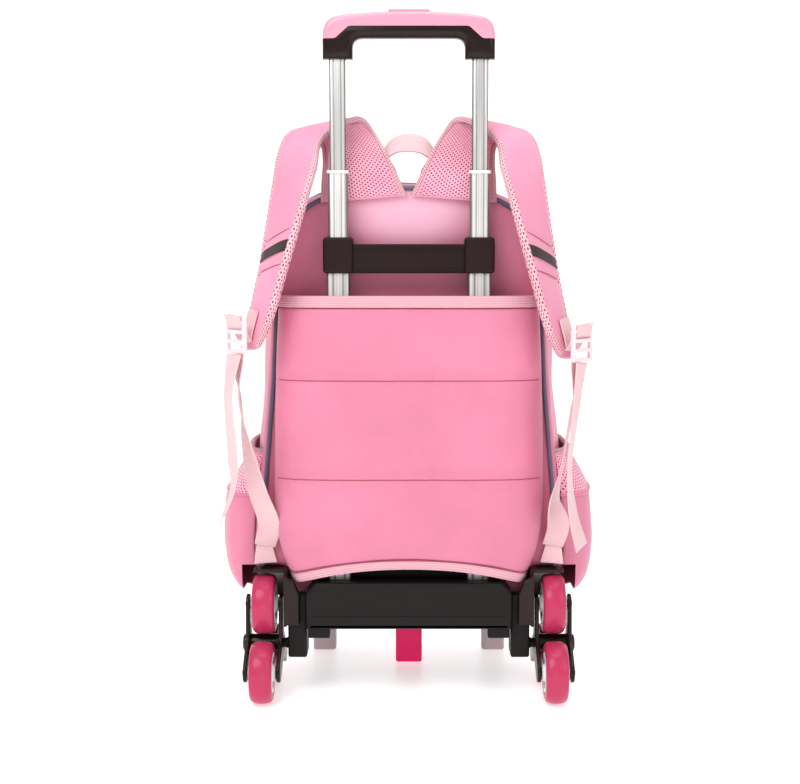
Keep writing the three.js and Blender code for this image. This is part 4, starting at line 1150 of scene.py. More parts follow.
# Inner and then outer edge, from the root over the ridge to the tip, as shares of spread, reach and
# height, and last the strap's thickness as a share of STRAP_THICKNESS.
STRAP_ROWS = [
    (0.018, 0.066, 0.665, 0.523, 0.066, 0.636, 0.38),
    (0.076, 0.064, 0.752, 0.517, 0.064, 0.731, 0.4),
    (0.151, -0.13, 0.86, 0.512, -0.13, 0.826, 0.85),
    (0.221, -0.28, 0.942, 0.535, -0.33, 0.893, 0.85),
    (0.285, -0.2, 0.996, 0.645, -0.37, 0.95, 0.75),
    (0.395, -0.03, 0.975, 0.74, -0.12, 0.922, 0.75),
    (0.53, 0.15, 0.9, 0.785, 0.02, 0.84, 0.85),
    (0.56, 0.5, 0.785, 0.81, 0.06, 0.725, 1.0),
    (0.62, 0.8, 0.63, 0.85, 0.12, 0.54, 1.0),
    (0.725, 0.98, 0.38, 0.9, 0.18, 0.33, 1.0),
    (0.835, 0.93, 0.13, 0.965, 0.26, 0.12, 0.95),
    (0.915, 0.78, 0.02, 0.998, 0.45, 0.01, 0.8),
]


def strap_crown(across):
    """How full the strap is across its outside, from 0 at its edges to 1."""
    return (1 - abs(2 * across - 1) ** 3.2) ** 0.6


class Strap:
    """The middle surface of one shoulder strap."""

    def __init__(self, side):
        self.sign = SIDES[side]
        self.drop = STRAP_DROP[side]
        self.inner = [self.knot(i, row[0:3]) for i, row in enumerate(STRAP_ROWS)]
        self.outer = [self.knot(i, row[3:6]) for i, row in enumerate(STRAP_ROWS)]

    def knot(self, i, shares):
        x, y, up = shares
        sag = self.drop * smoothstep(1 - up, 0.1, 0.9) if i >= 4 else 0
        return at(self.sign * x * STRAP_SPREAD, -y * STRAP_REACH, STRAP_TIP + up * STRAP_HEIGHT - sag)

    def middle(self, t, across):
        """across runs from 0 at the outer edge to 1 at the inner edge."""
        return on_path(self.outer, t).lerp(on_path(self.inner, t), across)

    def half(self, t):
        return listed([row[6] for row in STRAP_ROWS], t) * STRAP_THICKNESS / 2

    def normal(self, t, across):
        along = self.middle(min(t + 0.01, 1), across) - self.middle(max(t - 0.01, 0), across)
        width = self.middle(t, 1) - self.middle(t, 0)
        return (along.cross(width) * -self.sign).normalized()

    def point(self, t, across, lift):
        return self.middle(t, across) + self.normal(t, across) * lift


class BACKPACK_OT_straps(bpy.types.Operator):
    """Padded shoulder straps with mesh linings, trims and reflective bands"""
    bl_idname = "backpack.straps"
    bl_label = "Shoulder straps"

    def execute(self, context):
        size = sizes()
        for side in SIDES:
            strap = Strap(side)
            self.pad(strap, side)
            self.lining(strap, side)
            self.trim(strap, side, size)
            self.band(strap, side)
        return {"FINISHED"}

    def pad(self, strap, side):
        around, along = 30, 120

        def place(u, v):
            turn = 2 * pi * u
            across = 0.5 - 0.5 * powered(cos(turn), 0.75)
            crown = powered(sin(turn), 0.6)
            lift = strap.half(v) * crown * (0.94 if crown > 0 else 0.98)
            if crown > 0:
                near = min(abs(v - seam) for seam in STRAP_SEAMS)
                lift -= 0.0020 * exp(-(near / 0.006) ** 2)
                folds = noise.noise(Vector((across * 2.0, v * 26, strap.sign * 4)))
                lift += folds * 0.0011 * exp(-((v - 0.42) / 0.16) ** 2)
            return strap.point(v, across, lift)

        pad = shaped_grid(f"strap_pad_{side}", around, along, place, (0.14, 0.45))
        weld(pad)
        close_ends(pad)
        weld(pad)
        edges = [strap.point(i / 200, across, 0) for i in range(201) for across in (0.0, 1.0)]
        lines = [strap.point(seam, k / 12, strap.half(seam)) for seam in STRAP_SEAMS for k in range(13)]

        def sewn(point):
            return (min((point - e).length_squared for e in edges) < 0.0042 ** 2
                    or min((point - e).length_squared for e in lines) < 0.0040 ** 2)

        puff(pad, 5.0, 0.0022, sewn)
        refine(pad)
        set_up(pad, "bag", "pink_fabric", FINISHES["strap"], [f"shoulder_strap_{side}"], angle=60)

    def lining(self, strap, side):
        def place(u, v):
            t = 0.012 + 0.976 * v
            across = 0.06 + 0.88 * u
            rise = 0.0016 * max(sin(pi * u), 0) ** 0.5 * smoothstep(t, 0.10, 0.28)
            return strap.point(t, across, -strap.half(t) - 0.0002 - rise)

        lining = shaped_grid(f"strap_lining_{side}", 20, 140, place, (0.075, 0.40))
        wall(lining, 0.0010, 0)
        weld(lining, 2e-5)
        set_up(lining, "bag", "mesh_fabric", FINISHES["mesh"], [f"strap_mesh_{side}"], angle=60)

    def trim(self, strap, side, size):
        """The rolled mesh edge along both sides of the strap."""
        for name, across in (("inner", 0.985), ("outer", 0.015)):
            def place(u, v):
                t = 0.004 + 0.99 * v
                turn = 2 * pi * u
                centre = strap.point(t, across, 0)
                sideways = (strap.middle(t, 1) - strap.middle(t, 0)).normalized()
                tall = strap.half(t) * 0.62 + 0.0006
                return (centre + sideways * cos(turn) * size.trim_radius
                        + strap.normal(t, across) * sin(turn) * tall)

            trim = shaped_grid(f"strap_trim_{name}_{side}", 14, 200, place, (0.022, 0.46))
            weld(trim)
            close_ends(trim)
            set_up(trim, "bag", "mesh_fabric", FINISHES["trim"], angle=60)

    def band(self, strap, side):
        """The reflective band, wrapped over the outside between two stitched seams."""
        run = (strap.middle(BAND_PLACE + 0.01, 0.5) - strap.middle(BAND_PLACE - 0.01, 0.5)).length / 0.02
        share = BAND_WIDTH / 2 / run

        def place(u, v):
            t = BAND_PLACE + (2 * v - 1) * share
            across = 0.03 + 0.94 * u
            return strap.point(t, across, strap.half(t) * strap_crown(across) + 0.0009)

        band = shaped_grid(f"strap_band_{side}", 24, 6, place, (0.06, BAND_WIDTH))
        wall(band, 0.0010, 0)
        weld(band, 2e-5)
        set_up(band, "bag", "grey_reflective", FINISHES["reflective"], [f"reflective_band_{side}"], angle=60)
        for k, seam in enumerate(STRAP_SEAMS):
            line = []
            for i in range(90):
                across = 0.05 + 0.90 * i / 89
                line.append(strap.point(seam, across, strap.half(seam) * strap_crown(across) - 0.0012))
            stitches(f"strap_stitch_{side}_{k}", line, 0.0005)


# Webbing and locks

WEB_WIDTH, WEB_THICKNESS = 0.025, 0.0016
LOCK_HEIGHT = high("ladder_lock_left").z - low("ladder_lock_left").z
LOCK_THICKNESS, LOCK_RAIL = 0.005, 0.004
LOCK_SLOT = (LOCK_HEIGHT - 4 * LOCK_RAIL) / 3
LOCK_TURN = 48
ANCHOR_Z = BAG_LOW + 0.155 * (BAG_HIGH - BAG_LOW)
# Beyond the bag's side, towards the wearer, share of the way down, turned in degrees, and widened.
WEB_ROWS = {
    "left": {
        "run": [
            (0.036, 0.044, 0.0, 40, 1),
            (0.029, 0.043, 0.23, 88, 1),
            (0.019, 0.037, 0.46, 60, 1),
            (0.005, 0.029, 0.7, 30, 1),
            (-0.008, 0.016, 0.88, 15, 1),
            (-0.004, 0.0058, 1.0, 0, 0.9),
        ],
        "tail": [
            (0.037, 0.0495, 0.0, 50, 1),
            (0.040, 0.056, 0.2, 65, 1),
            (0.031, 0.056, 0.5, 60, 1),
            (0.029, 0.052, 0.67, 75, 1),
            (0.039, 0.048, 0.83, 85, 1),
        ],
    },
    "right": {
        "run": [
            (0.033, 0.044, 0.0, 40, 1),
            (0.022, 0.042, 0.26, 88, 1),
            (0.008, 0.036, 0.55, 80, 1),
            (-0.002, 0.026, 0.75, 60, 1),
            (0.002, 0.015, 0.89, 15, 1),
            (-0.004, 0.0058, 1.0, 0, 0.9),
        ],
        "tail": [
            (0.034, 0.052, 0.0, 60, 1),
            (0.025, 0.056, 0.25, 70, 1),
            (0.014, 0.056, 0.55, 75, 1),
            (0.015, 0.050, 0.8, 65, 1),
            (0.022, 0.046, 0.97, 55, 1),
        ],
    },
}


def beside_bag(sign, beyond, towards, z):
    return at(sign * (side_half(z) + beyond), -towards, z)


def ribbon(name, points, turns, widths, steps=90, width=WEB_WIDTH, lie=None):
    """Webbing along a smooth path, its width turned about Z by degrees, with slightly raised edges."""
    knots = [Vector(p) for p in points]

    def place(u, v):
        along = (on_path(knots, min(v + 0.01, 1)) - on_path(knots, max(v - 0.01, 0))).normalized()
        if lie:
            flat = lie(v)
        else:
            turn = radians(eased(turns, v))
            flat = Vector((cos(turn), sin(turn), 0))
        across = (flat - along * flat.dot(along)).normalized()
        normal = along.cross(across)
        bowl = 0.0006 * (2 * u - 1) ** 2
        return on_path(knots, v) + across * (u - 0.5) * width * eased(widths, v) + normal * bowl

    total = line_length([on_path(knots, i / 200) for i in range(201)])
    piece = shaped_grid(name, 8, steps, place, (width, total))
    wall(piece, WEB_THICKNESS, 0)
    weld(piece, 2e-5)
    soften(piece, 0.0005, 2, 60)
    return piece, total


class BACKPACK_OT_webbing(bpy.types.Operator):
    """Ladder locks, webbing runs, tails and anchor tabs"""
    bl_idname = "backpack.webbing"
    bl_label = "Webbing"

    def execute(self, context):
        for side, sign in SIDES.items():
            lock = middle(f"ladder_lock_{side}")
            start = low(f"ladder_lock_{side}").z - 0.0008
            self.lock(side, sign, lock)
            for part, rows in WEB_ROWS[side].items():
                points = [beside_bag(sign, beyond, towards, start - down * (start - ANCHOR_Z))
                          for beyond, towards, down, _, _ in rows]
                turns = [row[3] if sign > 0 else -row[3] for row in rows]
                strip, total = ribbon(f"web_{part}_{side}", points, turns, [row[4] for row in rows])
                set_up(strip, "bag", "pale_webbing", FINISHES["webbing"], [f"webbing_{part}_{side}"],
                       angle=50)
            self.tab(side, sign)
            self.patch(side, sign, lock)
        return {"FINISHED"}

    def lock(self, side, sign, centre):
        """A moulded lock with three slots between rounded bars."""
        wide = WEB_WIDTH + 2 * LOCK_RAIL
        outer = block_outline(wide, LOCK_HEIGHT, 0.003)
        slots = [block_outline(WEB_WIDTH + 0.0006, LOCK_SLOT, 0.0012, (0, k * (LOCK_SLOT + LOCK_RAIL)))
                 for k in (-1, 0, 1)]
        half = LOCK_THICKNESS / 2
        lock = plate(f"lock_{side}", [outer, *slots], "Y", -half, half, 0.0012)
        for vertex in lock.data.vertices:
            bar = smoothstep(abs(vertex.co.x), WEB_WIDTH / 2, WEB_WIDTH / 2 - 0.004)
            vertex.co.y -= 0.0012 * bar * (1 if vertex.co.z > 0 else 0.4)
        pick(lock)
        lock.matrix_world = Matrix.Translation(centre) @ Matrix.Rotation(radians(sign * LOCK_TURN), 4, "Z")
        settle()
        set_up(lock, "bag", "pale_plastic", FINISHES["lock"], [f"ladder_lock_{side}"], angle=40)

    def tab(self, side, sign):
        """The folded tab that the webbing is sewn to."""
        points = [beside_bag(sign, -0.003, 0.0038, ANCHOR_Z + 0.006),
                  beside_bag(sign, -0.0035, 0.0040, ANCHOR_Z - 0.007),
                  beside_bag(sign, -0.004, 0.0038, ANCHOR_Z - 0.020)]
        strip, total = ribbon(f"tab_{side}", points, [0, 0, 0], [0.55, 0.8, 1], steps=20)
        set_up(strip, "bag", "pale_webbing", FINISHES["webbing"], [f"anchor_tab_{side}"], angle=50)

    def patch(self, side, sign, lock):
        """The short webbing sewn on the strap's outside and threaded through the lock."""
        strap = Strap(side)
        turn = radians(sign * LOCK_TURN)
        out = Vector((-sin(turn), cos(turn), 0))
        face = -1 if out.y > 0 else 1
        slot = LOCK_SLOT + LOCK_RAIL
        points = [strap.point(t, 0.40, strap.half(t) + 0.0016) for t in (0.885, 0.93, 0.975)]
        points += [lock + Vector((0, 0, LOCK_HEIGHT / 2 + 0.004)) + out * face * 0.0035,
                   lock + Vector((0, 0, slot)) + out * face * 0.0005,
                   lock + Vector((0, 0, slot * 0.5)) - out * face * 0.0036]
        wide = Vector((cos(turn), sin(turn), 0))

        def lie(v):
            edge = strap.middle(0.93, 0) - strap.middle(0.93, 1)
            edge = edge.normalized() * (1 if edge.dot(wide) > 0 else -1)
            return edge.lerp(wide, smoothstep(v, 0.25, 0.6)).normalized()

        widths = [0.92, 0.95, 0.97, 0.98, 0.98, 0.98]
        strip, total = ribbon(f"strap_web_{side}", points, [0], widths, 50, lie=lie)
        set_up(strip, "bag", "pale_webbing", FINISHES["webbing"], angle=50)


# Grab handle

GRAB_WIDTH, GRAB_HALF, GRAB_RISE = 0.025, 0.024, 0.041
GRAB_DEPTH = middle("grab_handle").y - BACK
# Across, height and lean of the loop.
GRAB_ROWS = [
    (-0.55, 0.0, 2), (-0.62, 0.25, 12), (-1.0, 0.62, 35), (-0.6, 0.92, 46), (0.05, 1.0, 50),
    (0.65, 0.9, 46), (1.0, 0.6, 35), (0.6, 0.25, 12), (0.52, 0.0, 2),
]


class BACKPACK_OT_grab_handle(bpy.types.Operator):
    """Webbing loop on the bag's top, with a dark red inner layer as painted shade on its underside"""
    bl_idname = "backpack.grab_handle"
    bl_label = "Grab handle"

    def execute(self, context):
        foot = BAG_HIGH + CROWN - 0.001
        rise = GRAB_RISE + 0.0013
        knots = [at(across * GRAB_HALF, GRAB_DEPTH, foot + up * rise) for across, up, _ in GRAB_ROWS]

        def layer(name, lift, thickness, width):
            def place(u, v):
                along = (on_path(knots, min(v + 0.01, 1)) - on_path(knots, max(v - 0.01, 0))).normalized()
                lean = radians(eased([row[2] for row in GRAB_ROWS], v))
                flat = Vector((0, cos(lean), sin(lean)))
                across = (flat - along * flat.dot(along)).normalized()
                normal = along.cross(across)
                wave = ripple(Vector((u, v * 5, 0)), 1.1, 0.0012)
                return on_path(knots, v) + across * (u - 0.5) * width + normal * (lift + wave)

            total = line_length([on_path(knots, i / 100) for i in range(101)])
            piece = shaped_grid(name, 10, 110, place, (width, total))
            wall(piece, thickness, 0)
            weld(piece, 2e-5)
            soften(piece, 0.0005, 2, 60)
            return piece

        outward = 1 if (knots[4] - knots[0]).cross(Vector((0, 1, 0))).x > 0 else -1
        outer = layer("grab_loop", -0.0006 * outward, 0.0013, GRAB_WIDTH)
        # The inner layer is a dark red copy of the webbing: painted shade on the loop's underside
        inner = layer("grab_underside_shade", 0.0008 * outward, 0.0011, GRAB_WIDTH - 0.0016)
        set_up(outer, "bag", "pale_webbing", FINISHES["webbing"], ["grab_handle"], angle=50)
        set_up(inner, "bag", "pale_webbing", FINISHES["under"], angle=50)
        return {"FINISHED"}


# Telescoping handle

TUBE_WALL = 0.0012
COLLAR_RIM, COLLAR_HEIGHT = 0.0012, 0.003
# Width, depth and corner of the holes in the bracket's blocks: round the outer tube, and above it
BRACKET_BORE = (0.0246, 0.0186, 0.0042)
BRACKET_MOUTH = (0.0216, 0.0156, 0.0036)
BRACKET_LIP = 0.0067
CROSSBAR_HEIGHT, CROSSBAR_DEPTH = 0.030, 0.009
CROSSBAR_RIBS = (0.0045, 0.0255)
def tube_outline(node, corner, flutes):
    """A tube's outline with fine flutes along its broad faces."""
    width = high(node).x - low(node).x
    depth = high(node).y - low(node).y
    centre = middle(node)
    line = even([(x, y, 0) for x, y in block_outline(width, depth, corner, steps=8)], 240, closed=True)
    made = []
    for p in line:
        x, y = p.x, p.y
        flat = abs(abs(y) - depth / 2) < 0.0001 and abs(x) < width / 2 - corner
        if flat:
            groove = min(abs(x - flute * width) for flute in flutes)
            y -= (1 if y > 0 else -1) * 0.0007 * exp(-(groove / 0.0006) ** 2)
        made.append((centre.x + x, centre.y + y))
    return made


class BACKPACK_OT_tubes(bpy.types.Operator):
    """Three stages of fluted tube on each side, and the bracket across them"""
    bl_idname = "backpack.tubes"
    bl_label = "Tubes and bracket"

    def execute(self, context):
        for side in SIDES:
            self.fluted("outer_tube", side, "bag", 0.0042, (-0.28, -0.2, 0.2, 0.28))
            self.middle_stage(side, 0.0036)
            self.fluted("inner_tube", side, "trolley_handle", 0.0030, (-0.25, 0.25))
        self.bracket()
        return {"FINISHED"}

    def bore(self, node, corner, rim=0.0):
        centre = middle(node)
        width = high(node).x - low(node).x - 2 * (TUBE_WALL + rim)
        depth = high(node).y - low(node).y - 2 * (TUBE_WALL + rim)
        return block_outline(width, depth, max(corner - TUBE_WALL, 0.001), (centre.x, centre.y))

    def fluted(self, stem, side, body, corner, flutes):
        """An outer or inner tube, with its flutes at shares of its width from the middle."""
        node = f"{stem}_{side}"
        outlines = [tube_outline(node, corner, flutes), self.bore(node, corner)]
        tube = plate(f"{stem}_skin_{side}", outlines, "Z", low(node).z, high(node).z, 0.0003, 1)
        set_up(tube, body, "aluminium", FINISHES[stem], [node], angle=25)

    def middle_stage(self, side, corner):
        """The middle tube with its moulded collar at the top."""
        node = f"middle_tube_{side}"
        top = high(node).z
        centre = (middle(node).x, middle(node).y)
        width, depth = high(node).x - low(node).x, high(node).y - low(node).y
        within, beside = width - 2 * COLLAR_RIM, depth - 2 * COLLAR_RIM
        outlines = [block_outline(within, beside, corner, centre, 8), self.bore(node, corner, COLLAR_RIM)]
        tube = plate(f"middle_tube_skin_{side}", outlines, "Z", low(node).z, top, 0.0003, 1)
        ring = [block_outline(width, depth, corner + COLLAR_RIM, centre, 8),
                block_outline(within - 0.0002, beside - 0.0002, corner, centre, 8)]
        cap = plate(f"collar_{side}", ring, "Z", top - COLLAR_HEIGHT, top + 0.0002, 0.0005, 2)
        set_up(tube, "trolley_middle", "aluminium", FINISHES["middle_tube"], [node], angle=25)
        set_up(cap, "trolley_middle", "white_plastic", FINISHES["hub"], angle=30)

    def bracket(self):
        """Two blocks round the outer tubes and a ribbed crossbar between them."""
        lo, hi = low("tube_bracket"), high("tube_bracket")
        back = middle("tube_bracket").y
        wide = hi.x - TUBE.x
        pieces = []
        for side, sign in SIDES.items():
            x = sign * TUBE.x
            outer = sided_outline(x - wide, x + wide, lo.z, hi.z, 0.004)
            block = plate(f"bracket_block_{side}", [outer], "Y", lo.y, hi.y, 0.003)
            tube = block_outline(*BRACKET_BORE, (x, back))
            cut_away(block, plate("bracket_bore", [tube], "Z", lo.z - 0.01, hi.z - BRACKET_LIP, 0.0001, 1))
            mouth = block_outline(*BRACKET_MOUTH, (x, back))
            cut_away(block, plate("bracket_mouth", [mouth], "Z", hi.z - 0.02, hi.z + 0.01, 0.0001, 1))
            pieces.append(block)
        inner = TUBE.x - wide + 0.0015
        face = sided_outline(-inner, inner, lo.z, lo.z + CROSSBAR_HEIGHT, 0.001)
        pieces.append(plate("bracket_bar", [face], "Y", back - CROSSBAR_DEPTH, back, 0.0014))
        for i, z in enumerate(CROSSBAR_RIBS):
            rib = block_outline(2 * inner, 0.0012, 0.0004, (0, lo.z + z))
            pieces.append(plate(f"bracket_rib_{i}", [rib], "Y", back - 0.0098, back - 0.006, 0.0003, 1))
        whole = joined(pieces, "bracket")
        set_up(whole, "bag", "black_plastic", FINISHES["bracket"], ["tube_bracket"], angle=35)


# Grip

GRIP_LOW = low("grip_base").z
GRIP_HIGH = high("grip_shell").z
GRIP_HALF = high("grip_base").x
GRIP_LEG = 0.0305
GRIP_SEAM = GRIP_LOW + 0.020
GRIP_STEP = 0.0124
GRIP_ROUND = 0.0068
GRIP_BORE = (0.0175, 0.0115, 0.003)
# The grip's outer line from its side to the middle, as shares of its half-width and height.
GRIP_CROWN = [
    (1.0, 0.30), (1.0, 0.50), (0.99, 0.64), (0.965, 0.75), (0.92, 0.835), (0.85, 0.892), (0.74, 0.93),
    (0.58, 0.958), (0.40, 0.978), (0.20, 0.994), (0.0, 1.0),
]


def grip_outline():
    """The grip from the front: two legs, an arch between them and a low crown on top."""
    tall = GRIP_HIGH - GRIP_LOW
    knots = [Vector((share * GRIP_HALF, GRIP_LOW + up * tall, 0)) for share, up in GRIP_CROWN]
    right = [on_path(knots, i / 28) for i in range(29)]
    crown = [(p.x, p.y) for p in right] + [(-p.x, p.y) for p in reversed(right[:-1])]
    leg = GRIP_HALF - GRIP_LEG
    arch = GRIP_SEAM + 0.0008
    under = rounded([(-GRIP_HALF, GRIP_LOW, 0), (-leg, GRIP_LOW, 0), (-leg, arch, 0.012), (leg, arch, 0.012),
                     (leg, GRIP_LOW, 0), (GRIP_HALF, GRIP_LOW, 0)], 0)
    return crown + under


def beyond_grip_seam(shift, edge):
    """An outline from the seam between the grip's base and its shell to a level beyond the grip."""
    wide = GRIP_HALF + 0.02
    seam = GRIP_SEAM + shift
    bend = [(TUBE.x + 0.002, seam, 0.006), (TUBE.x - 0.012, seam + GRIP_STEP, 0.006)]
    right = [(wide, edge, 0), (wide, seam, 0), *bend]
    left = [(-x, z, r) for x, z, r in reversed(right)]
    return rounded(right + left, 0.004)


class BACKPACK_OT_grip(bpy.types.Operator):
    """Grip with a dark base, a glossy shell and a button"""
    bl_idname = "backpack.grip"
    bl_label = "Grip"

    def execute(self, context):
        front, back = low("grip_base").y, high("grip_base").y
        whole = plate("grip_shell_skin", [grip_outline()], "Y", front, back, GRIP_ROUND, 6)
        base = place_copy(whole, "grip_base_skin")
        for piece, shift, edge in ((base, -0.0002, GRIP_HIGH + 0.03), (whole, 0.0002, GRIP_LOW - 0.03)):
            outline = beyond_grip_seam(shift, edge)
            cut_away(piece, plate("seam_tool", [outline], "Y", front - 0.01, back + 0.01, 0.0001, 1))
        bore_top = high("inner_tube_left").z + 0.0003
        for sign in SIDES.values():
            bore = block_outline(*GRIP_BORE, (sign * TUBE.x, TUBE.y))
            cut_away(base, plate("leg_bore", [bore], "Z", GRIP_LOW - 0.01, bore_top, 0.0001, 1))
        button_low, button_high = low("grip_button"), high("grip_button")
        width = button_high.x - button_low.x + 0.0012
        depth = button_high.y - button_low.y + 0.0012
        pill = block_outline(width, depth, 0.0065, (0, TUBE.y), 8)
        well = plate("button_well", [pill], "Z", button_low.z - 0.0033, button_high.z + 0.01, 0.0001, 1)
        cut_away(whole, well)
        for piece in (whole, base):
            weld(piece)
            soften(piece, 0.0006, 2, 50)
        set_up(whole, "trolley_handle", "pink_plastic", FINISHES["grip"], ["grip_shell"], angle=35)
        set_up(base, "trolley_handle", "dark_plastic", FINISHES["dark"], ["grip_base"], angle=35)
        self.button(button_low, button_high)
        self.small_parts(front)
        return {"FINISHED"}

    def button(self, lo, hi):
        outline = block_outline(hi.x - lo.x, hi.y - lo.y, 0.0062, (0, TUBE.y), 8)
        button = plate("button_skin", [outline], "Z", lo.z, hi.z, 0.0018, 4)
        set_up(button, "grip_button", "pink_plastic", FINISHES["grip"], ["grip_button"], angle=35)

    def small_parts(self, front):
        """The screw caps on the front of the base."""
        for side, sign in SIDES.items():
            bpy.ops.mesh.primitive_cylinder_add(
                vertices=20, radius=0.0016, depth=0.0016, rotation=(pi / 2, 0, 0),
                location=(sign * (TUBE.x - 0.001), front - 0.0001, GRIP_SEAM - 0.010))
            cap = called(f"screw_cap_{side}")
            settle()
            soften(cap, 0.0004, 2, 40)
            set_up(cap, "trolley_handle", "dark_plastic", FINISHES["black"], angle=35)


# Base

BAR_LOW, BAR_CHAMFER = 0.078, 0.0115
TRAY_LOW, TRAY_HIGH = 0.080, 0.0917
TRAY_LIP = 0.104
HOUSING_IN, HOUSING_OUT = 0.1088, 0.1288
AXLE_CENTRE = Vector((0, AXLE.y, AXLE.z))
AXLE_END = high("axle_housing_right").x
FENDER_CENTRE = (AXLE.y, AXLE.z)
FENDER_RADII = (0.0790, 0.0825)
# Where the roof starts and ends and where the side plate ends, in degrees round the axle
FENDER_TURNS = (25, 96, 108.4)
FENDER_IN, FENDER_OUT = 0.1291, 0.1658
FENDER_WALL, FENDER_LOW = 0.0035, 0.0785
# The cover in front of each fender
COVER_IN, COVER_OUT = 0.1156, 0.1326
COVER_LOW, COVER_TOP = 0.0795, 0.1313
STAR_PLATES = ((0.1351, 0.1393), (0.1703, 0.1745))
STAR_REACH = 0.043
CORE_RADIUS, PIN_RADIUS = 0.0068, 0.0040


class BACKPACK_OT_base(bpy.types.Operator):
    """Bar, tray, feet, housings with their axles, and fenders"""
    bl_idname = "backpack.base"
    bl_label = "Base"

    def execute(self, context):
        self.bar()
        self.tray()
        self.feet()
        for side, sign in SIDES.items():
            self.housing(side, sign)
            self.fender(side, sign)
        return {"FINISHED"}

    def bar(self):
        """The bar under the tubes, with a groove along its front and a block at each end."""
        lo, hi = low("base_bar"), high("base_bar")
        shoulder, top = hi.z - BAR_CHAMFER, hi.x - BAR_CHAMFER
        front = [(-hi.x, BAR_LOW, 0.002), (hi.x, BAR_LOW, 0.002), (hi.x, shoulder, 0.004), (top, hi.z, 0.004),
                 (-top, hi.z, 0.004), (-hi.x, shoulder, 0.004)]
        bar = plate("base_bar_skin", [rounded(front, 0.004)], "Y", lo.y, hi.y, 0.0045, 5)
        reach = hi.x * 0.93
        groove = sided_outline(-reach, reach, BAR_LOW + 0.014, BAR_LOW + 0.0155, 0.0004)
        cut_away(bar, plate("bar_step", [groove], "Y", lo.y - 0.004, lo.y + 0.0007, 0.0002, 1))
        set_up(bar, "bag", "black_plastic", FINISHES["black"], ["base_bar"], angle=35)
        for side, sign in SIDES.items():
            outer, inner = sign * (hi.x - 0.002), sign * (hi.x - 0.025)
            face = sided_outline(outer, inner, lo.z, BAR_LOW + 0.002, 0.002)
            block = plate(f"bar_block_{side}", [face], "Y", BACK - 0.034, BACK - 0.014, 0.002, 3)
            set_up(block, "bag", "black_plastic", FINISHES["black"], angle=35)

    def tray(self):
        """The tray under the bag, with a lip along its front edge."""
        lo, hi = low("base_tray"), high("base_tray")
        corners = [(lo.x, lo.y, 0.002), (hi.x, lo.y, 0.002), (hi.x, hi.y, 0.012), (lo.x, hi.y, 0.012)]
        tray = plate("base_tray_skin", [rounded(corners, 0.004)], "Z", lo.z, TRAY_HIGH, 0.002, 3)
        face = sided_outline(-TRAY_LIP, TRAY_LIP, TRAY_HIGH - 0.004, hi.z, 0.004)
        lip = plate("tray_lip", [face], "Y", lo.y, lo.y + 0.0044, 0.0010, 2)
        whole = joined([tray, lip], "base_tray_skin")
        set_up(whole, "bag", "black_plastic", FINISHES["black"], ["base_tray"])

    def feet(self):
        for side in SIDES:
            self.foot(f"front_foot_{side}", 0.005, 0.002, "grey_plastic", "foot")
        self.foot("centre_foot", 0.004, 0.0022, "hot_pink_plastic", "hot_pink")

    def foot(self, node, corner, bevel, slot, finish):
        lo, hi = low(node), high(node)
        centre = ((lo.x + hi.x) / 2, (lo.y + hi.y) / 2)
        outline = block_outline(hi.x - lo.x, hi.y - lo.y, corner, centre, 6)
        foot = plate(f"{node}_skin", [outline], "Z", lo.z, hi.z, bevel, 4)
        set_up(foot, "bag", slot, FINISHES[finish], [node], angle=35)

    def housing(self, side, sign):
        """A rounded block under the bag that holds the axle."""
        node = f"axle_housing_{side}"
        lo, hi = low(node), high(node)
        x0, x1 = sorted((sign * HOUSING_IN, sign * HOUSING_OUT))
        outline = [(lo.y, lo.z, 0.005), (BACK + 0.014, lo.z, 0.005), (BACK + 0.014, TRAY_LOW - 0.0003, 0.001),
                   (BACK - 0.006, TRAY_LOW - 0.0003, 0.001), (BACK - 0.006, hi.z, 0.003), (lo.y, hi.z, 0.004)]
        block = plate(f"housing_{side}", [rounded(outline, 0.003)], "X", x0, x1, 0.0022, 4)
        boss = turned(f"axle_boss_{side}", [
            (sign * (HOUSING_OUT - 0.001), 0.0), (sign * (HOUSING_OUT - 0.001), 0.0062),
            (sign * (HOUSING_OUT + 0.0028), 0.0058), (sign * (HOUSING_OUT + 0.0030), 0.005),
            (sign * AXLE_END, 0.005), (sign * AXLE_END, 0.0)], AXLE_CENTRE, 32)
        whole = joined([block, boss], f"housing_{side}")
        set_up(whole, "bag", "black_plastic", FINISHES["black"], [node], angle=35)

    def fender(self, side, sign):
        """The guard over the wheels: a side plate, a curved roof and a cover in front."""
        node = f"fender_{side}"
        inner, outer = FENDER_RADII
        start, roof_end, plate_end = FENDER_TURNS
        roof_line = arc(FENDER_CENTRE, outer, start, roof_end, 24)
        roof_line += arc(FENDER_CENTRE, inner, roof_end, start, 24)
        x0, x1 = sorted((sign * FENDER_IN, sign * FENDER_OUT))
        roof = plate(f"fender_roof_{side}", [roof_line], "X", x0, x1, 0.0012, 3)
        plate_line = arc(FENDER_CENTRE, outer, start, plate_end, 30)
        plate_line += [(FENDER_CENTRE[0] - 0.0262, FENDER_LOW),
                       (FENDER_CENTRE[0] + outer * cos(radians(start)), FENDER_LOW)]
        wall_x = sorted((sign * FENDER_IN, sign * (FENDER_IN + FENDER_WALL)))
        plane = plate(f"fender_plate_{side}", [plate_line], "X", *wall_x, 0.0008, 2)
        cover = [(sign * COVER_IN, COVER_LOW), (sign * COVER_OUT, COVER_LOW), (sign * COVER_OUT, COVER_TOP),
                 (sign * COVER_OUT - sign * 0.004, COVER_TOP), (sign * 0.1286, COVER_TOP),
                 (sign * 0.1216, COVER_TOP - 0.004), (sign * COVER_IN, COVER_TOP - 0.018)]
        face = rounded(cover, 0.003)
        front = plate(f"fender_cover_{side}", [face], "Y", BACK - 0.030, BACK - 0.023, 0.0022, 4)
        whole = joined([roof, plane, front], f"fender_skin_{side}")
        set_up(whole, "bag", "dark_plastic", FINISHES["dark"], [node], angle=35)


# Wheels

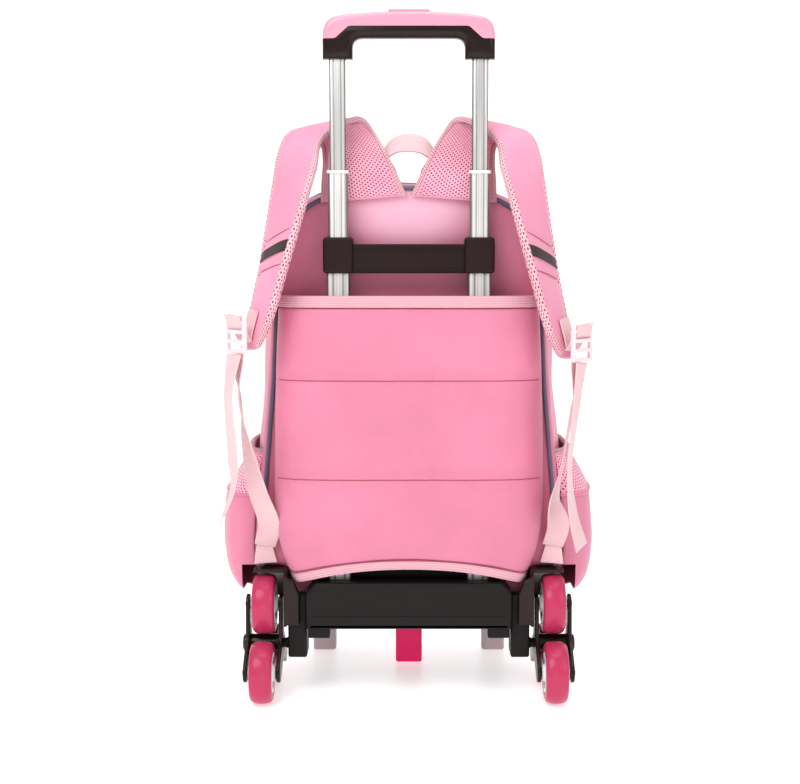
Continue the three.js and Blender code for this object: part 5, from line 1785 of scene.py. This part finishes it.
class BACKPACK_OT_wheels(bpy.types.Operator):
    """Two star carriers with three wheels each"""
    bl_idname = "backpack.wheels"
    bl_label = "Wheels"

    def execute(self, context):
        segments = sizes().wheel_segments
        spots = {where: middle(f"tyre_right_{where}") for where in WHEELS}
        first = spots["top"]
        tyre = self.tyre(first, segments)
        hub = self.hub(first, segments)
        carrier = self.carrier()
        for side, sign in SIDES.items():
            for where, spot in spots.items():
                for kind, model, slot, finish in (("tyre", tyre, "tyre_plastic", "tyre"),
                                                  ("hub", hub, "white_plastic", "hub")):
                    piece = place_copy(model, f"{kind}_skin_{side}_{where}", spot - first)
                    if sign < 0:
                        mirror(piece)
                    set_up(piece, f"wheel_{side}_{where}", slot, FINISHES[finish], [f"{kind}_{side}_{where}"])
            star = place_copy(carrier, f"carrier_skin_{side}")
            if sign < 0:
                mirror(star)
            set_up(star, f"carrier_{side}", "dark_plastic", FINISHES["dark"], [f"star_carrier_{side}"])
        for model in (tyre, hub, carrier):
            bpy.data.objects.remove(model, do_unlink=True)
        return {"FINISHED"}

    def tyre(self, centre, segments):
        node = "tyre_right_top"
        half = (high(node).x - low(node).x) / 2
        radius = (high(node).z - low(node).z) / 2
        seat = radius * 0.665
        outer = [(1.0, 0.70), (1.0, 0.80), (0.975, 0.865), (0.90, 0.92), (0.76, 0.957), (0.5, 0.985),
                 (0.2, 1.0)]
        line = [(half * a, radius * r) for a, r in outer]
        line += [(-half * a, radius * r) for a, r in reversed(outer)]
        line += [(-half * 0.88, seat), (half * 0.88, seat)]
        return turned("tyre_model", line, centre, segments)

    def hub(self, centre, segments):
        node = "hub_right_top"
        half = (high(node).x - low(node).x) / 2
        rim = (high(node).z - low(node).z) / 2
        bore = 0.0046
        side = [(0.78, rim), (0.83, rim * 0.97), (0.83, rim * 0.80), (0.62, rim * 0.72), (0.58, rim * 0.48),
                (0.95, rim * 0.40), (1.0, rim * 0.36), (1.0, bore)]
        line = [(half * a, r) for a, r in side] + [(-half * a, r) for a, r in reversed(side)]
        return turned("hub_model", line, centre, segments)

    def carrier(self):
        """Two star plates, a core and three pins, in one piece."""
        (inner_start, inner_end), (outer_start, outer_end) = STAR_PLATES
        centre = (AXLE_CENTRE.y, AXLE_CENTRE.z)
        outline = star_outline(centre)
        hole = arc(centre, CORE_RADIUS, 0, 350, 35)
        pieces = [plate("star_inner", [outline, hole], "X", inner_start, inner_end, 0.0012, 3),
                  plate("star_outer", [outline], "X", outer_start, outer_end, 0.0014, 3)]
        end = high("star_carrier_right").x
        core = [(inner_end - 0.0005, CORE_RADIUS), (inner_end - 0.0005, 0.0096), (outer_end, 0.0096),
                (end - 0.0012, 0.0090), (end, 0.0070), (end, 0.0), (outer_start, 0.0),
                (outer_start, CORE_RADIUS)]
        pieces.append(turned("star_core", core, AXLE_CENTRE, 40))
        pin = [(inner_start + 0.0005, 0.0), (inner_start + 0.0005, PIN_RADIUS),
               (outer_end + 0.0006, PIN_RADIUS), (outer_end + 0.0010, 0.0034), (outer_end + 0.0010, 0)]
        for where in WHEELS:
            spot = middle(f"tyre_right_{where}")
            pieces.append(turned(f"star_pin_{where}", pin, Vector((AXLE_CENTRE.x, spot.y, spot.z)), 24))
        return joined(pieces, "carrier_model")


def star_outline(centre):
    """A three-pointed star with rounded tips and soft valleys."""
    made = []
    for turn in WHEELS.values():
        tip = (centre[0] + STAR_REACH * cos(radians(turn)), centre[1] + STAR_REACH * sin(radians(turn)))
        made += arc(tip, 0.011, turn - 75, turn + 75, 12)
        valley = radians(turn + 60)
        made.append((centre[0] + 0.0165 * cos(valley), centre[1] + 0.0165 * sin(valley)))
    return even_flat(made, 240)


def even_flat(outline, count):
    """A closed flat outline with so many evenly spaced points, smoothed."""
    line = even([(a, b, 0) for a, b in outline], count, closed=True)
    for _ in range(8):
        line = [(line[i - 1] + line[i] * 2 + line[(i + 1) % count]) / 4 for i in range(count)]
    return [(p.x, p.y) for p in line]


# Stage

# Place, aim, diameter and power of each light
LIGHTS = {
    "key_light": ((-1.1, BACK - 1.7, 2.3), (0, 0, 0.42), 1.8, 46),
    "fill_light": ((1.9, BACK - 1.6, 1.5), (0, 0, 0.38), 2.0, 16),
    "top_light": ((0.1, BACK + 0.1, 2.6), (0, 0, 0.3), 1.6, 22),
    "low_light": ((0, BACK - 1.9, 0.25), (0, 0, 0.2), 1.2, 3),
}
CAMERA_DISTANCE, CAMERA_HEIGHT, CAMERA_DOWN = 1.5, 0.5, 6.63
CAMERA_LENS, CAMERA_SENSOR, CAMERA_SHIFT = 64.08, 36, -0.011
# How bright the world is as a light, and as seen
WORLD_LIT, WORLD_SEEN = 0.60, 1.05


class BACKPACK_OT_stage(bpy.types.Operator):
    """Pale floor, backdrop, soft lights and the camera"""
    bl_idname = "backpack.stage"
    bl_label = "Stage"

    def execute(self, context):
        scene = context.scene
        self.floor()
        self.world(scene)
        for name, settings in LIGHTS.items():
            self.light(name, *settings)
        self.camera(scene)
        scene.view_settings.view_transform = "Standard"
        return {"FINISHED"}

    def floor(self):
        """A floor that runs up into a backdrop behind the backpack."""
        half, front, back, bend, top = 6.0, -3.5, 4.0, 2.0, 5.0

        def place(u, v):
            run = v * (back - front + bend * pi / 2 + top)
            x = (2 * u - 1) * half
            if run < back - front:
                return Vector((x, front + run, 0))
            run -= back - front
            if run < bend * pi / 2:
                return Vector((x, back + bend * sin(run / bend), bend - bend * cos(run / bend)))
            return Vector((x, back + bend, bend + run - bend * pi / 2))

        floor = shaped_grid("floor", 2, 90, place)
        paint = Finish("floor_paint", base_color=(0.93, 0.925, 0.925), roughness=0.38,
                       emission_color=(1.0, 1.0, 1.0), emission_strength=0.48)
        floor.data.materials.append(paint.material)
        shade(floor, 60)

    def world(self, scene):
        world = bpy.data.worlds.new("studio")
        world.use_nodes = True
        backdrop = world.node_tree.nodes["Background"]
        backdrop.inputs["Color"].default_value = (1, 0.99, 0.985, 1)
        rays = world.node_tree.nodes.new("ShaderNodeLightPath")
        strength = world.node_tree.nodes.new("ShaderNodeMapRange")
        strength.inputs["To Min"].default_value = WORLD_LIT
        strength.inputs["To Max"].default_value = WORLD_SEEN
        world.node_tree.links.new(rays.outputs["Is Camera Ray"], strength.inputs["Value"])
        world.node_tree.links.new(strength.outputs[0], backdrop.inputs["Strength"])
        scene.world = world

    def light(self, name, place, aim, size, power):
        lamp = bpy.data.lights.new(name, "AREA")
        lamp.shape = "DISK"
        lamp.size = size
        lamp.energy = power
        made = bpy.data.objects.new(name, lamp)
        made.location = place
        made.rotation_euler = (Vector(aim) - Vector(place)).to_track_quat("-Z", "Y").to_euler()
        bpy.context.collection.objects.link(made)

    def camera(self, scene):
        lens = bpy.data.cameras.new("photo_camera")
        lens.lens = CAMERA_LENS
        lens.sensor_width = CAMERA_SENSOR
        lens.sensor_fit = "HORIZONTAL"
        lens.shift_x = CAMERA_SHIFT
        camera = bpy.data.objects.new("photo_camera", lens)
        camera.location = (0, BACK - CAMERA_DISTANCE, CAMERA_HEIGHT)
        camera.rotation_euler = (radians(90 - CAMERA_DOWN), 0, 0)
        bpy.context.collection.objects.link(camera)
        scene.camera = camera


# The panel and the run

STEPS = ["bag", "piping", "pockets", "sleeve", "straps", "webbing", "grab_handle", "tubes", "grip", "base",
         "wheels", "stage"]


class BACKPACK_PT_panel(bpy.types.Panel):
    """The backpack's sizes, colours and steps"""
    bl_idname = "BACKPACK_PT_panel"
    bl_label = "Wheeled Backpack"
    bl_space_type = "VIEW_3D"
    bl_region_type = "UI"
    bl_category = "Backpack"

    def draw(self, context):
        for group in (sizes(), colours()):
            for key in group.__annotations__:
                self.layout.prop(group, key)
        for step in STEPS:
            self.layout.operator(f"backpack.{step}")


CLASSES = (
    BackpackSizes, BackpackColours, BACKPACK_OT_bag, BACKPACK_OT_piping, BACKPACK_OT_pockets,
    BACKPACK_OT_sleeve, BACKPACK_OT_straps, BACKPACK_OT_webbing, BACKPACK_OT_grab_handle, BACKPACK_OT_tubes,
    BACKPACK_OT_grip, BACKPACK_OT_base, BACKPACK_OT_wheels, BACKPACK_OT_stage, BACKPACK_PT_panel,
)


def register():
    for kind in CLASSES:
        bpy.utils.register_class(kind)
    bpy.types.Scene.backpack_sizes = PointerProperty(type=BackpackSizes)
    bpy.types.Scene.backpack_colours = PointerProperty(type=BackpackColours)


def unregister():
    del bpy.types.Scene.backpack_colours
    del bpy.types.Scene.backpack_sizes
    for kind in reversed(CLASSES):
        bpy.utils.unregister_class(kind)


def main():
    register()
    make_finishes()
    for step in STEPS:
        getattr(bpy.ops.backpack, step)()
    deselect()


if __name__ == "__main__":
    main()
